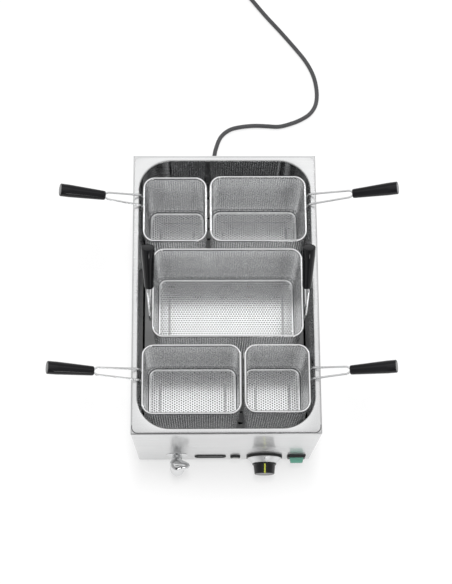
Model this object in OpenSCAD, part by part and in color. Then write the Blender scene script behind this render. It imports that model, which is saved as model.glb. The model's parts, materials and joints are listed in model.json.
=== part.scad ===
// Countertop pasta cooker: a sheet-steel case with a pressed tank, a slotted false bottom and five
// perforated baskets. Millimetres, +Z up, front towards -Y, standing on z = 0.

/* [Case] */
// Width of the case
case_w = 340; // [335:1:420]
// Depth of the case, front panel to rear panel
case_d = 528; // [500:1:620]
// Height of the feet below the front panel
foot_h = 20; // [12:1:40]
// Height of the control bay between the panel's lower edge and the tank
bay_h = 76.5; // [72:0.5:110]
// Thickness of the case sheet
sheet = 1.5; // [1:0.1:2]
// Outer bend radius of the case sheet
bend_r = 3; // [2:0.5:5]
// Inset of the deck plate from the case's outer faces
deck_inset = 3; // [2:0.5:5]
// Corner radius of the deck plate
deck_r = 10; // [5:1:20]
// Diameter of a foot
foot_d = 36; // [25:1:50]
// Inset of the feet from the case's outer faces
foot_inset = 36; // [32:1:60]

/* [Tank] */
// Strip of deck between the tank opening and the case's outer face
deck_margin = 11.5; // [10:0.5:20]
// Corner radius of the tank in plan
tank_r = 58; // [40:1:80]
// Radius between the tank's walls and its floor
tank_floor_r = 18; // [10:1:25]
// Thickness of the tank sheet
tank_t = 1.2; // [0.8:0.1:1.5]
// Height of the false bottom above the tank's floor
false_h = 19; // [19:1:32]
// Thickness of the false bottom
false_t = 1.5; // [1:0.1:2]
// Gap between the false bottom and the tank's walls
false_gap = 3; // [2:0.5:6]
// Length of a slot in the false bottom
slot_l = 16; // [10:1:24]
// Width of a slot in the false bottom
slot_w = 4; // [3:0.5:6]
// Distance between slots in a row
slot_pitch = 52; // [40:1:70]
// Distance between rows of slots
slot_row = 11; // [9:1:16]
// Diameter of the tubular heating element
element_d = 8; // [6:0.5:10]

/* [Baskets] */
// Height of a basket from its underside to the middle of its rim
basket_h = 179; // [120:1:200]
// Depth of the rims' middle below the deck
rim_drop = 9; // [6:0.5:14]
// Width of a small basket over its rim
small_w = 120; // [100:1:140]
// Depth of the wide basket over its rim, front to rear
wide_d = 170; // [140:1:200]
// Gap between the tank wall and the outer baskets' rims
side_gap = 6; // [5:0.5:12]
// Gap between the tank wall and the wide basket's rim, on average
wide_gap = 20; // [14:1:40]
// Gap between the two baskets of a row
pair_gap = 4; // [2:0.5:12]
// Gap between the rows of baskets
row_gap = 12; // [6:0.5:24]
// Gap between the tank's ends and the small baskets
end_gap = 28; // [15:1:50]
// How much deeper than the small baskets the large ones are, towards the tank's ends
large_more = 2.5; // [0:0.5:6]
// How far the wide basket stands off the tank's middle
wide_shift = 4; // [-8:0.5:8]
// Corner radius of the small and large baskets over the rim
basket_r = 22; // [15:1:30]
// Thickness of the basket sheet
basket_t = 1; // [0.8:0.1:1.5]
// Width of the ledge under a basket's floor
ledge_w = 6; // [4:0.5:10]
// Diameter of the rim wire
rim_d = 5; // [4:0.5:6]
// Diameter of a hole in a basket's floor
hole_d = 4; // [3:0.5:6]
// Distance between holes in a basket's floor
hole_pitch = 11; // [8:0.5:16]

/* [Handles] */
// Diameter of the handle wire
wire_d = 4; // [3:0.5:5]
// Length of a grip
grip_l = 83; // [60:1:110]
// Diameter of a grip at its outer end
grip_d = 21.5; // [18:0.5:26]
// Diameter of a grip at the wire
grip_neck_d = 17; // [14:0.5:20]
// Length of the wire legs of the small baskets' handles
leg_l = 63; // [50:1:90]
// Length of the wire legs of the large baskets' handles
long_leg_l = 78; // [50:1:90]
// Length of the wire legs of the wide basket's handles
wide_leg_l = 44; // [36:1:70]
// Rise of the side handles above the horizontal, in degrees
side_rise = 20; // [10:1:35]
// Rise of the wide basket's handles, which lean to the rear, in degrees
wide_rise = 50; // [40:1:70]
// Distance between a handle's feet
foot_span = 20; // [14:1:30]
// Distance between a handle's legs at the grip
leg_span = 13; // [11:0.5:16]
// How far the rear baskets' handles stand behind their middle
rear_handle_y = 13; // [0:1:25]
// How far the front baskets' handles stand behind their middle
front_handle_y = 6; // [0:1:25]
// How far the wide basket's handles stand in front of its middle
wide_handle_y = 38; // [20:1:50]

/* [Controls] */
// Height of the knob and the switch above the panel's lower edge
control_up = 39; // [38:1:60]
// Height of the lamp and the recess above the panel's lower edge
lamp_up = 41; // [25:1:60]
// Distance of the knob from the case's right side
knob_inset = 92; // [80:1:110]
// Distance of the switch from the case's right side
rocker_inset = 29; // [24:1:40]
// Distance from the knob to the lamp
lamp_pitch = 57; // [50:1:65]
// Gap between the lamp's ring and the pill-shaped recess
recess_lamp_gap = 8; // [7:1:10]
// Gap between the pill-shaped recess and the tap's flange
recess_tap_gap = 13; // [10:1:16]
// Diameter of the black gasket behind the dial
gasket_d = 70; // [60:1:76]
// Thickness of the gasket
gasket_t = 4; // [2:0.5:6]
// Height of the silver dial cone
cone_h = 11; // [6:0.5:14]
// Diameter of the knob at its skirt
knob_d = 43; // [36:1:48]
// Diameter of the knob at its face
knob_face_d = 39; // [32:1:44]
// Length of the knob with its skirt
knob_l = 21; // [18:1:34]
// Width of the switch housing
rocker_w = 36; // [30:1:40]
// Height of the switch housing
rocker_h = 28; // [24:1:34]
// Tilt of the rocker at rest, in degrees
rocker_tilt = 6; // [4:0.5:8]
// Diameter of the lamp's ring
lamp_d = 20; // [16:1:24]
// Height of the pill-shaped recess
recess_h = 20; // [14:1:24]

/* [Drain] */
// Distance of the tap from the case's left side
tap_inset = 77; // [60:1:79]
// Depth of the drain pipe's middle below the tank's floor
drain_drop = 18.7; // [17.5:0.1:22]
// Outer diameter of the drain pipe
pipe_d = 22; // [16:1:24]
// Wall of the drain pipe
pipe_t = 2; // [1:0.5:3]
// Diameter of the tap's flange
tap_flange_d = 42; // [34:1:46]
// Diameter of the tap's upright barrel
barrel_d = 26; // [22:1:28]
// Distance of the barrel's axis from the front panel
barrel_out = 22; // [19:0.5:25]
// Height of the tap's barrel
barrel_h = 58; // [50:1:66]
// Length of the tap's lever from its axis
lever_l = 23; // [20:1:34]

/* [Cord] */
// Diameter of the mains cord
cord_d = 8.8; // [7:0.1:9]
// Height of the cord's outlet above the panel's lower edge
outlet_up = 35; // [30:1:50]

/* [Hidden] */
$fn = 48;

// Clearances: a loose fit between pieces, and a welded or snug one
clear = 0.3;
snug = 0.1;
// Overshoot of a cut past the face that it opens
cut = 1;

// Heights, worked up from the table
tank_depth = rim_drop + basket_h + false_h;
tank_floor_z = foot_h + bay_h + tank_t;
deck_z = tank_floor_z + tank_depth;
false_z = tank_floor_z + false_h;
rim_z = deck_z - rim_drop;
flange_z = deck_z - sheet;
control_z = foot_h + control_up;
lamp_z = foot_h + lamp_up;
tap_z = tank_floor_z - drain_drop;
outlet_z = foot_h + outlet_up;

// Plan sizes of the tank and the baskets
tank_w = case_w - 2 * deck_margin;
tank_d = case_d - 2 * deck_margin;
row_d = (tank_d - 2 * end_gap - wide_d - 2 * row_gap) / 2;
large_w = tank_w - 2 * side_gap - pair_gap - small_w;
wide_w = tank_w - 2 * wide_gap;
row_y = tank_d / 2 - end_gap - row_d / 2;
left_x = -tank_w / 2 + side_gap;
right_x = tank_w / 2 - side_gap;

// Each basket: middle in x, middle in y, width, depth
REAR_LEFT = [left_x + small_w / 2, row_y, small_w, row_d];
REAR_RIGHT = [right_x - large_w / 2, row_y + large_more / 2, large_w, row_d + large_more];
MIDDLE = [wide_shift, 0, wide_w, wide_d];
FRONT_LEFT = [left_x + large_w / 2, -row_y - large_more / 2, large_w, row_d + large_more];
FRONT_RIGHT = [right_x - small_w / 2, -row_y, small_w, row_d];
LEFT = -1;
RIGHT = 1;

// Places on the front panel
front_y = -case_d / 2;
rear_y = case_d / 2;
knob_x = case_w / 2 - knob_inset;
rocker_x = case_w / 2 - rocker_inset;
lamp_x = knob_x - lamp_pitch;
tap_x = tap_inset - case_w / 2;
recess_right = lamp_x - lamp_d / 2 - recess_lamp_gap;
recess_left = tap_x + tap_flange_d / 2 + recess_tap_gap;
recess_l = recess_right - recess_left;
recess_x = (recess_right + recess_left) / 2;

// Case details
flange_w = 7;
base_flange_w = 14;
rear_flange_w = 12;
screw_d = 4;
screw_head_d = 8;
screw_head_h = 2;
screw_l = 8;
foot_screw_d = 6;
foot_screw_head_d = 12;
foot_well_d = 18;
foot_taper = 3;
vent_l = 40;
vent_w = 5;
vent_pitch = 14;
vents = 9;

// Controls
skirt_d = knob_d + 4;
skirt_t = 2.5;
cone_foot_d = gasket_d - 4;
cone_top_d = skirt_d + 1;
shaft_d = 6;
bush_d = 10;
index_w = 3;
index_up = 0.4;
thermostat_w = 44;
thermostat_h = 40;
thermostat_l = 46;
rocker_flange_t = 2;
rocker_collar_t = 5;
rocker_wall = 4;
rocker_body_l = 26;
rocker_lip = 4;
rocker_rise = 14;
rocker_dip = 2;
rocker_hollow = 2;
rocker_draft = 2.5;
pivot_d = 4;
pivot_span = rocker_w - 2 * rocker_wall + 3;
lamp_t = 4.5;
lamp_edge = 1.5;
lamp_lens_d = 13;
lamp_body_d = 12;
lamp_body_l = 24;
recess_rim = 6;
recess_plate_t = 1;
recess_frame_w = 2;
recess_frame_up = 2.5;
recess_face_up = 0.8;
knob_reach = gasket_t + cone_h + clear + knob_l;

// The origin is under the middle of the whole length, from the knob's face to the rear screws
body_y = (knob_reach - screw_head_h) / 2;

// Drain
drain_in = 48;
pipe_neck = 3.5;
pipe_bend_r = drain_drop - tank_t - pipe_neck;
tap_flange_t = 3;
lever_dome_h = 13;
lever_d = barrel_d + 1;
lever_tip_d = 5;
spindle_d = 8;
spindle_l = 12;
barrel_top_z = tap_z + barrel_d / 2 + 3;
spout_d = barrel_d + 2.5;
spout_taper = 3;
spout_l = 16;
spout_wall = 2.5;

// Heating element and its neighbours, on the tank's floor
element_z = tank_floor_z + element_d / 2 + 8;
element_x = [20, 80];
element_in = 38;
terminal_y = tank_d / 2 - element_in;
element_back_y = terminal_y + 17;
element_front_y = -terminal_y + 20;
element_tail = 22;
element_bend_r = 14;
terminal_bend_r = 10;
rest_t = 3;
rest_y = 110;
rest_l = 210;
runner_x = tank_w / 2 - 29;
runner_end = 75;
runner_l = tank_d - 2 * runner_end;
bulb_x = (element_x[0] + element_x[1]) / 2;
bulb_d = 8;
bulb_l = 110;
capillary_d = 3;
capillary_in = 60;
capillary_bend_r = 8;
gland_d = 20;
gland_neck_d = 12;
gland_head_h = 2;
gland_nut_h = 8;

// Handles
wire_r = wire_d / 2;
foot_drop = 12;
leg_up = rim_drop + wire_r + 3;
neck_l = 6;
tang_l = 24;
tang_span = 6.4;
wide_twist = 25;
grip_edge = 3;

// Mains cord: hand-chosen points on its way from the gland's tip to the coil. x and y in millimetres, y
// from the tip, then the height as a share of the outlet's height over a cord that lies on the table
CORD_ROUTE = [
    [-20, 0, 1], [-20, 18, 0.96], [-20, 46, 0.6], [-18, 76, 0.15], [-14, 106, 0], [-3, 135, 0],
    [16, 152, 0], [40, 159, 0], [70, 162, 0], [98, 161, 0], [122, 160, 0], [146, 166, 0],
    [170, 176, 0], [190, 190, 0], [202, 209, 0], [206, 232, 0], [204, 260, 0], [197, 286, 0],
    [183, 314, 0], [163, 342, 0], [130, 384, 0], [99, 421, 0.01], [72, 456, 0.02], [48, 488, 0.02],
    [36, 504, 0.02]
];
outlet_x = CORD_ROUTE[0].x;
gland_out = 35;
gland_flange_d = 24;
gland_tip_d = 13;
lying_z = cord_d / 2 + 0.6;
cord_points = [for (p = CORD_ROUTE)
    [p.x, p.y + body_y + rear_y + gland_out, lying_z + p.z * (outlet_z - lying_z)]];
cord_sides = 8;
cord_steps = 3;
coil_sides = 6;
coil_loop_rings = 24;
coil_turns = 2;
coil_r = 46;
coil_gap = 0.8;
coil_start = cord_points[len(cord_points) - 1];
coil_z = coil_start.z;
coil_lead = coil_start - cord_points[len(cord_points) - 2];
coil_heading = atan2(coil_lead.y, coil_lead.x);
coil_step = cord_d + coil_gap;
coil_middle = [coil_start.x + coil_r * sin(coil_heading), coil_start.y - coil_r * cos(coil_heading)];
coil_tail = 34;
tie_w = 12;
tie_t = 1;
plug_d = 38;
plug_l = 30;
plug_neck_d = 15;
plug_neck_l = 26;
plug_z = plug_d / 2;
pin_d = 4.8;
pin_l = 19;
pin_span = 19;

// Unit vector along v
function unit(v) = v / norm(v);

// Direction of a path at its point i
function heading(path, i) = unit(path[min(i + 1, len(path) - 1)] - path[max(i - 1, 0)]);

// Side vectors along a path, each carried on from the last without twist
function carried(path, i, side) =
    let (t = heading(path, i), s = unit(side - t * (side * t)))
    i == len(path) - 1 ? [s] : concat([s], carried(path, i + 1, s));

// Points of an arc of radius r that rounds the corner b between a and c
function arc(a, b, c, r, n) =
    let (
        u = unit(a - b),
        v = unit(c - b),
        half = acos(max(-1, min(1, u * v))) / 2,
        middle = b + unit(u + v) * r / sin(half),
        from = b + u * r / tan(half) - middle,
        to = b + v * r / tan(half) - middle,
        turn = 180 - 2 * half
    )
    [for (k = [0:n]) middle + (sin(turn * (1 - k / n)) * from + sin(turn * k / n) * to) / sin(turn)];

// A polyline whose inner corners are rounded, each to its own radius
function rounded(points, radii, n) = concat(
    [points[0]],
    [for (i = [1:len(points) - 2]) each arc(points[i - 1], points[i], points[i + 1], radii[i - 1], n)],
    [points[len(points) - 1]]
);

// A smooth curve through points, n steps between each two
function curve(p, n) = concat(
    [for (i = [0:len(p) - 2])
        let (a = p[max(i - 1, 0)], b = p[i], c = p[i + 1], d = p[min(i + 2, len(p) - 1)])
        for (k = [0:n - 1])
            let (f = k / n, bow = 2 * a - 5 * b + 4 * c - d, skew = 3 * b - a - 3 * c + d)
            b + ((c - a) * f + bow * f * f + skew * f * f * f) / 2],
    [p[len(p) - 1]]
);

// A round tube swept along a path
module tube(path, r, sides, side = [0, 0, 1]) {
    last = len(path) - 1;
    across = carried(path, 0, side);
    points = [for (i = [0:last])
        let (t = heading(path, i), b = cross(t, across[i]))
        for (k = [0:sides - 1])
            path[i] + r * (cos(360 * k / sides) * across[i] + sin(360 * k / sides) * b)];
    skin = [for (i = [0:last - 1], k = [0:sides - 1])
        let (a = i * sides + k, b = i * sides + (k + 1) % sides)
        each [[a, a + sides, b], [b, a + sides, b + sides]]];
    near = [for (k = [1:sides - 2]) [0, k, k + 1]];
    far = [for (k = [1:sides - 2]) [last * sides, last * sides + k + 1, last * sides + k]];
    polyhedron(points, concat(skin, near, far));
}

// Rectangle with round corners, in the middle of the plane
module plan(w, d, r) {
    square([w - 2 * r, d], center = true);
    square([w, d - 2 * r], center = true);
    for (x = [-1, 1], y = [-1, 1])
        translate([x * (w / 2 - r), y * (d / 2 - r)])
            circle(r);
}

// Slot with round ends, l long and w wide, along x
module slot(l, w) {
    square([l - w, w], center = true);
    for (x = [-1, 1])
        translate([x * (l - w) / 2, 0])
            circle(d = w);
}

// Children placed in the body's own frame, whose middle is the middle of the case
module in_body() {
    translate([0, body_y, 0])
        children();
}

// Children on the front panel at x and z, turned so that their +Z points out of the panel
module on_panel(x, z) {
    in_body()
        translate([x, front_y, z])
            rotate([90, 0, 0])
                children();
}

// Bowl form with round corners in plan and a round edge at its floor
module bowl(w, d, r, edge, h) {
    for (x = [-1, 1], y = [-1, 1])
        translate([x * (w / 2 - r), y * (d / 2 - r), 0])
            rotate_extrude() {
                square([r - edge, h]);
                translate([0, edge])
                    square([r, h - edge]);
                intersection() {
                    translate([r - edge, edge])
                        circle(edge);
                    square([r, h]);
                }
            }
    bowl_span(w - 2 * r, d, edge, h);
    rotate([0, 0, 90])
        bowl_span(d - 2 * r, w, edge, h);
}

// Straight part of a bowl form, with its round floor edges at both ends in y
module bowl_span(w, d, edge, h) {
    rotate([90, 0, 90])
        translate([0, 0, -w / 2])
            linear_extrude(w) {
                translate([-d / 2, edge])
                    square([d, h - edge]);
                translate([edge - d / 2, 0])
                    square([d - 2 * edge, h]);
                for (y = [-1, 1])
                    translate([y * (d / 2 - edge), edge])
                        circle(edge);
            }
}

// What rounds an outer sheet edge along x: the square corner less the bend
module edge_cut(l) {
    translate([-l / 2, 0, 0])
        difference() {
            translate([0, -cut, -bend_r])
                cube([l, bend_r + cut, bend_r + cut]);
            translate([-cut, bend_r, -bend_r])
                rotate([0, 90, 0])
                    cylinder(h = l + 2 * cut, r = bend_r);
        }
}

// Case

module case_shell() color("gainsboro") {
    h = flange_z - foot_h;
    d = case_d - sheet;
    difference() {
        in_body()
            translate([0, -sheet / 2, foot_h])
                difference() {
                    linear_extrude(h)
                        plan(case_w, d, bend_r);
                    translate([0, 0, sheet])
                        linear_extrude(h - 2 * sheet)
                            plan(case_w - 2 * sheet, d - 2 * sheet, bend_r - sheet);
                    translate([0, 0, h / 2])
                        linear_extrude(h)
                            plan(case_w - 2 * flange_w, d - 2 * flange_w, bend_r);
                    translate([0, 0, -cut])
                        linear_extrude(h / 2)
                            plan(case_w - 2 * base_flange_w, d - 2 * base_flange_w, bend_r);
                    translate([rear_flange_w - case_w / 2, 0, rear_flange_w])
                        cube([case_w - 2 * rear_flange_w, d, h - 2 * rear_flange_w]);
                    translate([0, -d / 2, h])
                        edge_cut(case_w + 2 * cut);
                    for (x = [-1, 1])
                        translate([x * case_w / 2, 0, h])
                            rotate([0, 0, x * 90])
                                edge_cut(d + 2 * cut);
                    rear_screw_places(d / 2)
                        cylinder(h = 4 * sheet, d = screw_d, center = true);
                }
        on_panel(knob_x, control_z)
            cylinder(h = 4 * sheet, d = bush_d + clear, center = true);
        on_panel(rocker_x, control_z)
            cube([rocker_w - rocker_lip, rocker_h - rocker_lip, 4 * sheet], center = true);
        on_panel(lamp_x, lamp_z)
            cylinder(h = 4 * sheet, d = lamp_body_d + clear, center = true);
        on_panel(recess_x, lamp_z)
            linear_extrude(4 * sheet, center = true)
                slot(recess_l, recess_h);
        on_panel(tap_x, tap_z)
            cylinder(h = 4 * sheet, d = pipe_d + 2 * clear, center = true);
    }
}

// Places of the rear panel's screws on the case's rear flanges, measured from the case shell's foot
module rear_screw_places(y) {
    h = flange_z - foot_h;
    for (x = [-1, 1], z = [0.12, 0.5, 0.88])
        translate([x * (case_w - rear_flange_w) / 2, y, z * h])
            rotate([90, 0, 0])
                children();
}

module rear_panel() color("gainsboro") {
    h = flange_z - foot_h;
    in_body()
        difference() {
            translate([-case_w / 2, rear_y - sheet, foot_h])
                cube([case_w, sheet, h]);
            translate([0, 0, foot_h])
                rear_screw_places(rear_y)
                    cylinder(h = 4 * sheet, d = screw_d, center = true);
            translate([outlet_x, rear_y, outlet_z])
                rotate([90, 0, 0])
                    cylinder(h = 4 * sheet, d = gland_tip_d + 2 * snug, center = true);
        }
}

module rear_screws() color("silver") {
    in_body()
        translate([0, 0, foot_h])
            rear_screw_places(rear_y) {
                translate([0, 0, -screw_head_h])
                    cylinder(h = screw_head_h, d = screw_head_d);
                cylinder(h = screw_l, d = screw_d - snug);
            }
}

module base_plate() color("silver") {
    w = case_w - 2 * sheet - 2 * clear;
    d = case_d - 3 * sheet - 2 * clear;
    in_body()
        translate([0, -sheet / 2, foot_h + sheet])
            linear_extrude(sheet)
                difference() {
                    plan(w, d, bend_r - sheet);
                    for (i = [0:vents - 1])
                        translate([0, (i - (vents - 1) / 2) * vent_pitch])
                            slot(vent_l, vent_w);
                    translate([0, sheet / 2])
                        foot_places()
                            circle(d = foot_screw_d + snug);
                }
}

// Places of the four feet, in plan
module foot_places() {
    for (x = [-1, 1], y = [-1, 1])
        translate([x * (case_w / 2 - foot_inset), y * (case_d / 2 - foot_inset)])
            children();
}

module feet() color("dimgray") {
    h = foot_h + sheet;
    well_h = h - 6;
    in_body()
        foot_places()
            rotate_extrude()
                difference() {
                    polygon([
                        [0, 0], [foot_d / 2 - foot_taper, 0], [foot_d / 2, foot_taper],
                        [foot_d / 2, h], [0, h]
                    ]);
                    square([foot_well_d / 2, well_h]);
                    square([foot_screw_d / 2 + snug, h + cut]);
                }
}

module foot_screws() color("silver") {
    well_h = foot_h + sheet - 6;
    in_body()
        foot_places() {
            translate([0, 0, well_h - 4])
                cylinder(h = 4, d = foot_screw_head_d);
            translate([0, 0, well_h])
                cylinder(h = 6 + 3 * sheet, d = foot_screw_d);
        }
}

// Tank

module tank_deck() color("silver") {
    in_body()
        difference() {
            union() {
                translate([0, 0, flange_z])
                    linear_extrude(sheet)
                        plan(case_w - 2 * deck_inset, case_d - 2 * deck_inset, deck_r);
                translate([0, 0, tank_floor_z - tank_t])
                    bowl(tank_w + 2 * tank_t, tank_d + 2 * tank_t, tank_r + tank_t,
                        tank_floor_r + tank_t, tank_depth + tank_t);
            }
            translate([0, 0, tank_floor_z])
                bowl(tank_w, tank_d, tank_r, tank_floor_r, tank_depth + cut);
            translate([tap_x, drain_in - tank_d / 2, tank_floor_z])
                cylinder(h = 4 * tank_t, d = pipe_d - 2 * pipe_t, center = true);
            gland_places()
                cylinder(h = 4 * tank_t, d = gland_neck_d + 2 * snug, center = true);
        }
}

// Places of the glands in the tank's floor: two for the element, one for the capillary
module gland_places() {
    for (x = [-element_x[0], element_x[0], bulb_x])
        translate([x, terminal_y, tank_floor_z])
            children();
}

module false_bottom() color("silver") {
    w = tank_w - 2 * false_gap;
    d = tank_d - 2 * false_gap;
    rows = floor((d - 2 * slot_row) / slot_row / 2);
    columns = floor((w / 2 - slot_l) / slot_pitch);
    in_body() {
        translate([0, 0, false_z - false_t])
            linear_extrude(false_t)
                difference() {
                    plan(w, d, tank_r - false_gap);
                    for (j = [-rows:rows], i = [-columns:columns])
                        let (x = (i + (j % 2 == 0 ? 0 : 0.5)) * slot_pitch, y = j * slot_row)
                        if (slot_fits(abs(x) + slot_l / 2, abs(y) + slot_w / 2, w / 2, d / 2))
                            translate([x, y])
                                slot(slot_l, slot_w);
                }
        for (x = [-1, 1])
            translate([x * runner_x, 0, 0])
                false_runner();
    }
}

// Whether a slot's outer corner lies well inside the false bottom's rounded corner
function slot_fits(x, y, half_w, half_d) =
    let (r = tank_r - false_gap, edge = 6, dx = max(0, x - half_w + r), dy = max(0, y - half_d + r))
    x < half_w - edge && y < half_d - edge && norm([dx, dy]) < r - edge;

// Folded runner that carries the false bottom on the tank's floor
module false_runner() {
    h = false_h - false_t;
    toe = 8;
    translate([-false_t / 2, -runner_l / 2, tank_floor_z])
        cube([false_t, runner_l, h]);
    translate([-toe / 2, -runner_l / 2, tank_floor_z])
        cube([toe, runner_l, false_t]);
}

module heating_element() color("dimgray") {
    low_z = tank_floor_z - element_tail;
    half = [
        [element_x[0], terminal_y, low_z],
        [element_x[0], terminal_y, element_z],
        [element_x[0], element_front_y, element_z],
        [element_x[1], element_front_y, element_z],
        [element_x[1], element_back_y, element_z]
    ];
    other = [for (i = [4:-1:0]) [-half[i].x, half[i].y, half[i].z]];
    bends = [for (i = [1:6]) element_bend_r];
    radii = concat([terminal_bend_r], bends, [terminal_bend_r]);
    in_body()
        tube(rounded(concat(half, other), radii, 5), element_d / 2, 10, [1, 0, 0]);
}

module element_rests() color("silver") {
    h = element_z - element_d / 2 - snug - tank_floor_z;
    in_body()
        for (y = [-1, 1])
            translate([-rest_l / 2, y * rest_y - rest_t / 2, tank_floor_z])
                cube([rest_l, rest_t, h]);
}

module tank_glands() color("silver") {
    in_body()
        gland_places()
            rotate_extrude()
                difference() {
                    union() {
                        translate([0, -tank_t - gland_nut_h])
                            square([gland_d / 2, gland_nut_h]);
                        translate([0, -tank_t - cut])
                            square([gland_neck_d / 2, tank_t + 2 * cut]);
                        square([gland_d / 2 - 2, gland_head_h]);
                    }
                    translate([0, -tank_t - gland_nut_h - cut])
                        square([element_d / 2 + snug, 4 * gland_nut_h]);
                }
}

module thermostat_bulb() color("peru") {
    z = element_z - element_d / 2 + bulb_d / 2;
    low_z = control_z;
    turn_y = front_y + capillary_in;
    way = [
        [bulb_x, rest_y - bulb_d, z], [bulb_x, terminal_y, z], [bulb_x, terminal_y, low_z],
        [bulb_x, turn_y, low_z], [knob_x, turn_y, low_z],
        [knob_x, front_y + sheet + thermostat_l, low_z]
    ];
    in_body() {
        translate([bulb_x, rest_y, z])
            rotate([90, 0, 0])
                cylinder(h = bulb_l, d = bulb_d);
        tube(rounded(way, [for (i = [1:4]) capillary_bend_r], 4), capillary_d / 2, 6, [1, 0, 0]);
    }
}

// Control bay

module thermostat_body() color("gray") {
    on_panel(knob_x, control_z)
        difference() {
            union() {
                translate([-thermostat_w / 2, -thermostat_h / 2, -sheet - thermostat_l])
                    cube([thermostat_w, thermostat_h, thermostat_l]);
                translate([0, 0, -sheet - cut])
                    cylinder(h = sheet + cut + gasket_t, d = bush_d);
            }
            translate([0, 0, -thermostat_l / 2])
                cylinder(h = thermostat_l, d = shaft_d + 2 * clear);
        }
}

module thermostat_shaft() color("silver") {
    top = knob_reach - 6;
    on_panel(knob_x, control_z)
        translate([0, 0, -thermostat_l / 2 + clear])
            cylinder(h = top + thermostat_l / 2 - clear, d = shaft_d);
}

module safety_cutout() color("black") {
    in_body()
        translate([-bulb_x, 0, tank_floor_z - tank_t]) {
            mirror([0, 0, 1])
                cylinder(h = 14, d = 24);
            translate([-20, -6, -2])
                cube([40, 12, 2]);
        }
}

module terminal_block() color("ivory") {
    ways = 3;
    way_w = 18;
    l = ways * way_w;
    in_body()
        translate([outlet_x, rear_y - 60, foot_h + 2 * sheet])
            difference() {
                translate([-l / 2, -14, 0])
                    cube([l, 28, 24]);
                for (i = [0:ways - 1], y = [-1, 1])
                    translate([(i - (ways - 1) / 2) * way_w, y * 7, 16])
                        cylinder(h = 10, d = 8);
            }
}

module knob_gasket() color("black") {
    on_panel(knob_x, control_z)
        difference() {
            cylinder(h = gasket_t, d = gasket_d);
            translate([0, 0, -cut])
                cylinder(h = gasket_t + 2 * cut, d = bush_d + 2 * clear);
        }
}

module dial_cone() color("silver") {
    on_panel(knob_x, control_z)
        translate([0, 0, gasket_t])
            rotate_extrude()
                difference() {
                    polygon([[0, 0], [cone_foot_d / 2, 0], [cone_top_d / 2, cone_h], [0, cone_h]]);
                    translate([0, -cut])
                        square([shaft_d / 2 + clear, cone_h + 2 * cut]);
                }
}

// Outline of the knob, turned about its axis, grown by more
module knob_form(more) {
    edge = 1.5;
    rotate_extrude()
        polygon([
            [0, 0], [skirt_d / 2 + more, 0], [skirt_d / 2 + more, skirt_t], [knob_d / 2 + more, skirt_t],
            [knob_face_d / 2 + more, knob_l - edge], [knob_face_d / 2 - edge + more, knob_l + more],
            [0, knob_l + more]
        ]);
}

// Slab that the knob's index line fills, along the top of the knob
module index_slab(w, from) {
    translate([-w / 2, knob_face_d / 2 - 2, from])
        cube([w, knob_d, knob_l + cut]);
}

// Children at the knob's place, in front of the dial cone
module at_knob() {
    on_panel(knob_x, control_z)
        translate([0, 0, gasket_t + cone_h + clear])
            children();
}

module knob() color("#1c1c1e") {
    at_knob()
        difference() {
            knob_form(0);
            index_slab(index_w, skirt_t);
            translate([0, 0, -cut])
                cylinder(h = knob_l - 6 + cut + snug, d = shaft_d + 2 * snug);
        }
}

module knob_index() color("yellowgreen") {
    at_knob()
        intersection() {
            knob_form(index_up);
            index_slab(index_w - 2 * snug, skirt_t + snug);
        }
}

module rocker_housing() color("#222224") {
    body_w = rocker_w - rocker_lip - 2 * clear;
    body_h = rocker_h - rocker_lip - 2 * clear;
    on_panel(rocker_x, control_z)
        difference() {
            union() {
                linear_extrude(rocker_flange_t)
                    plan(rocker_w, rocker_h, 3);
                linear_extrude(rocker_collar_t)
                    plan(rocker_w - 2, rocker_h - 2, 3);
                translate([0, 0, -rocker_body_l])
                    linear_extrude(rocker_body_l + rocker_flange_t)
                        square([body_w, body_h], center = true);
            }
            translate([0, 0, -rocker_lip])
                linear_extrude(rocker_lip + rocker_collar_t + cut)
                    square([rocker_w - 2 * rocker_wall, rocker_h - 2 * rocker_wall], center = true);
            rotate([0, 90, 0])
                cylinder(h = pivot_span, d = pivot_d + 2 * clear, center = true);
        }
}

module rocker_cap() color("#2e9e72") {
    w = rocker_w - 2 * rocker_wall - 2 * clear;
    half = rocker_h / 2 - rocker_wall - 1;
    face_w = w - 2 * rocker_draft;
    on_panel(rocker_x, control_z)
        rotate([rocker_tilt, 0, 0]) {
            intersection() {
                rotate([90, 0, 90])
                    linear_extrude(w, center = true)
                        polygon([
                            [-half + 1, -rocker_dip], [-half, rocker_dip], [-half, rocker_rise],
                            [0, rocker_rise - rocker_hollow], [half, rocker_rise], [half, rocker_dip],
                            [half - 1, -rocker_dip]
                        ]);
                rotate([90, 0, 0])
                    linear_extrude(rocker_h, center = true)
                        polygon([
                            [-w / 2, -rocker_dip], [w / 2, -rocker_dip], [w / 2, rocker_collar_t],
                            [face_w / 2, rocker_rise], [-face_w / 2, rocker_rise], [-w / 2, rocker_collar_t]
                        ]);
            }
            rotate([0, 90, 0])
                cylinder(h = pivot_span - 2 * clear, d = pivot_d, center = true);
        }
}

module lamp_ring() color("#222224") {
    on_panel(lamp_x, lamp_z)
        rotate_extrude()
            difference() {
                union() {
                    polygon([
                        [0, 0], [lamp_d / 2, 0], [lamp_d / 2, lamp_t - lamp_edge],
                        [lamp_d / 2 - lamp_edge, lamp_t], [0, lamp_t]
                    ]);
                    translate([0, -lamp_body_l])
                        square([lamp_body_d / 2, lamp_body_l + 1]);
                }
                translate([0, lamp_t - lamp_edge])
                    square([lamp_lens_d / 2 + snug, lamp_t]);
            }
}

module lamp_lens() color("#c8c8c4") {
    on_panel(lamp_x, lamp_z)
        translate([0, 0, lamp_t - lamp_edge])
            rotate_extrude()
                intersection() {
                    square([lamp_lens_d / 2, 3]);
                    translate([0, 3 - 15])
                        circle(15);
                }
}

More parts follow.
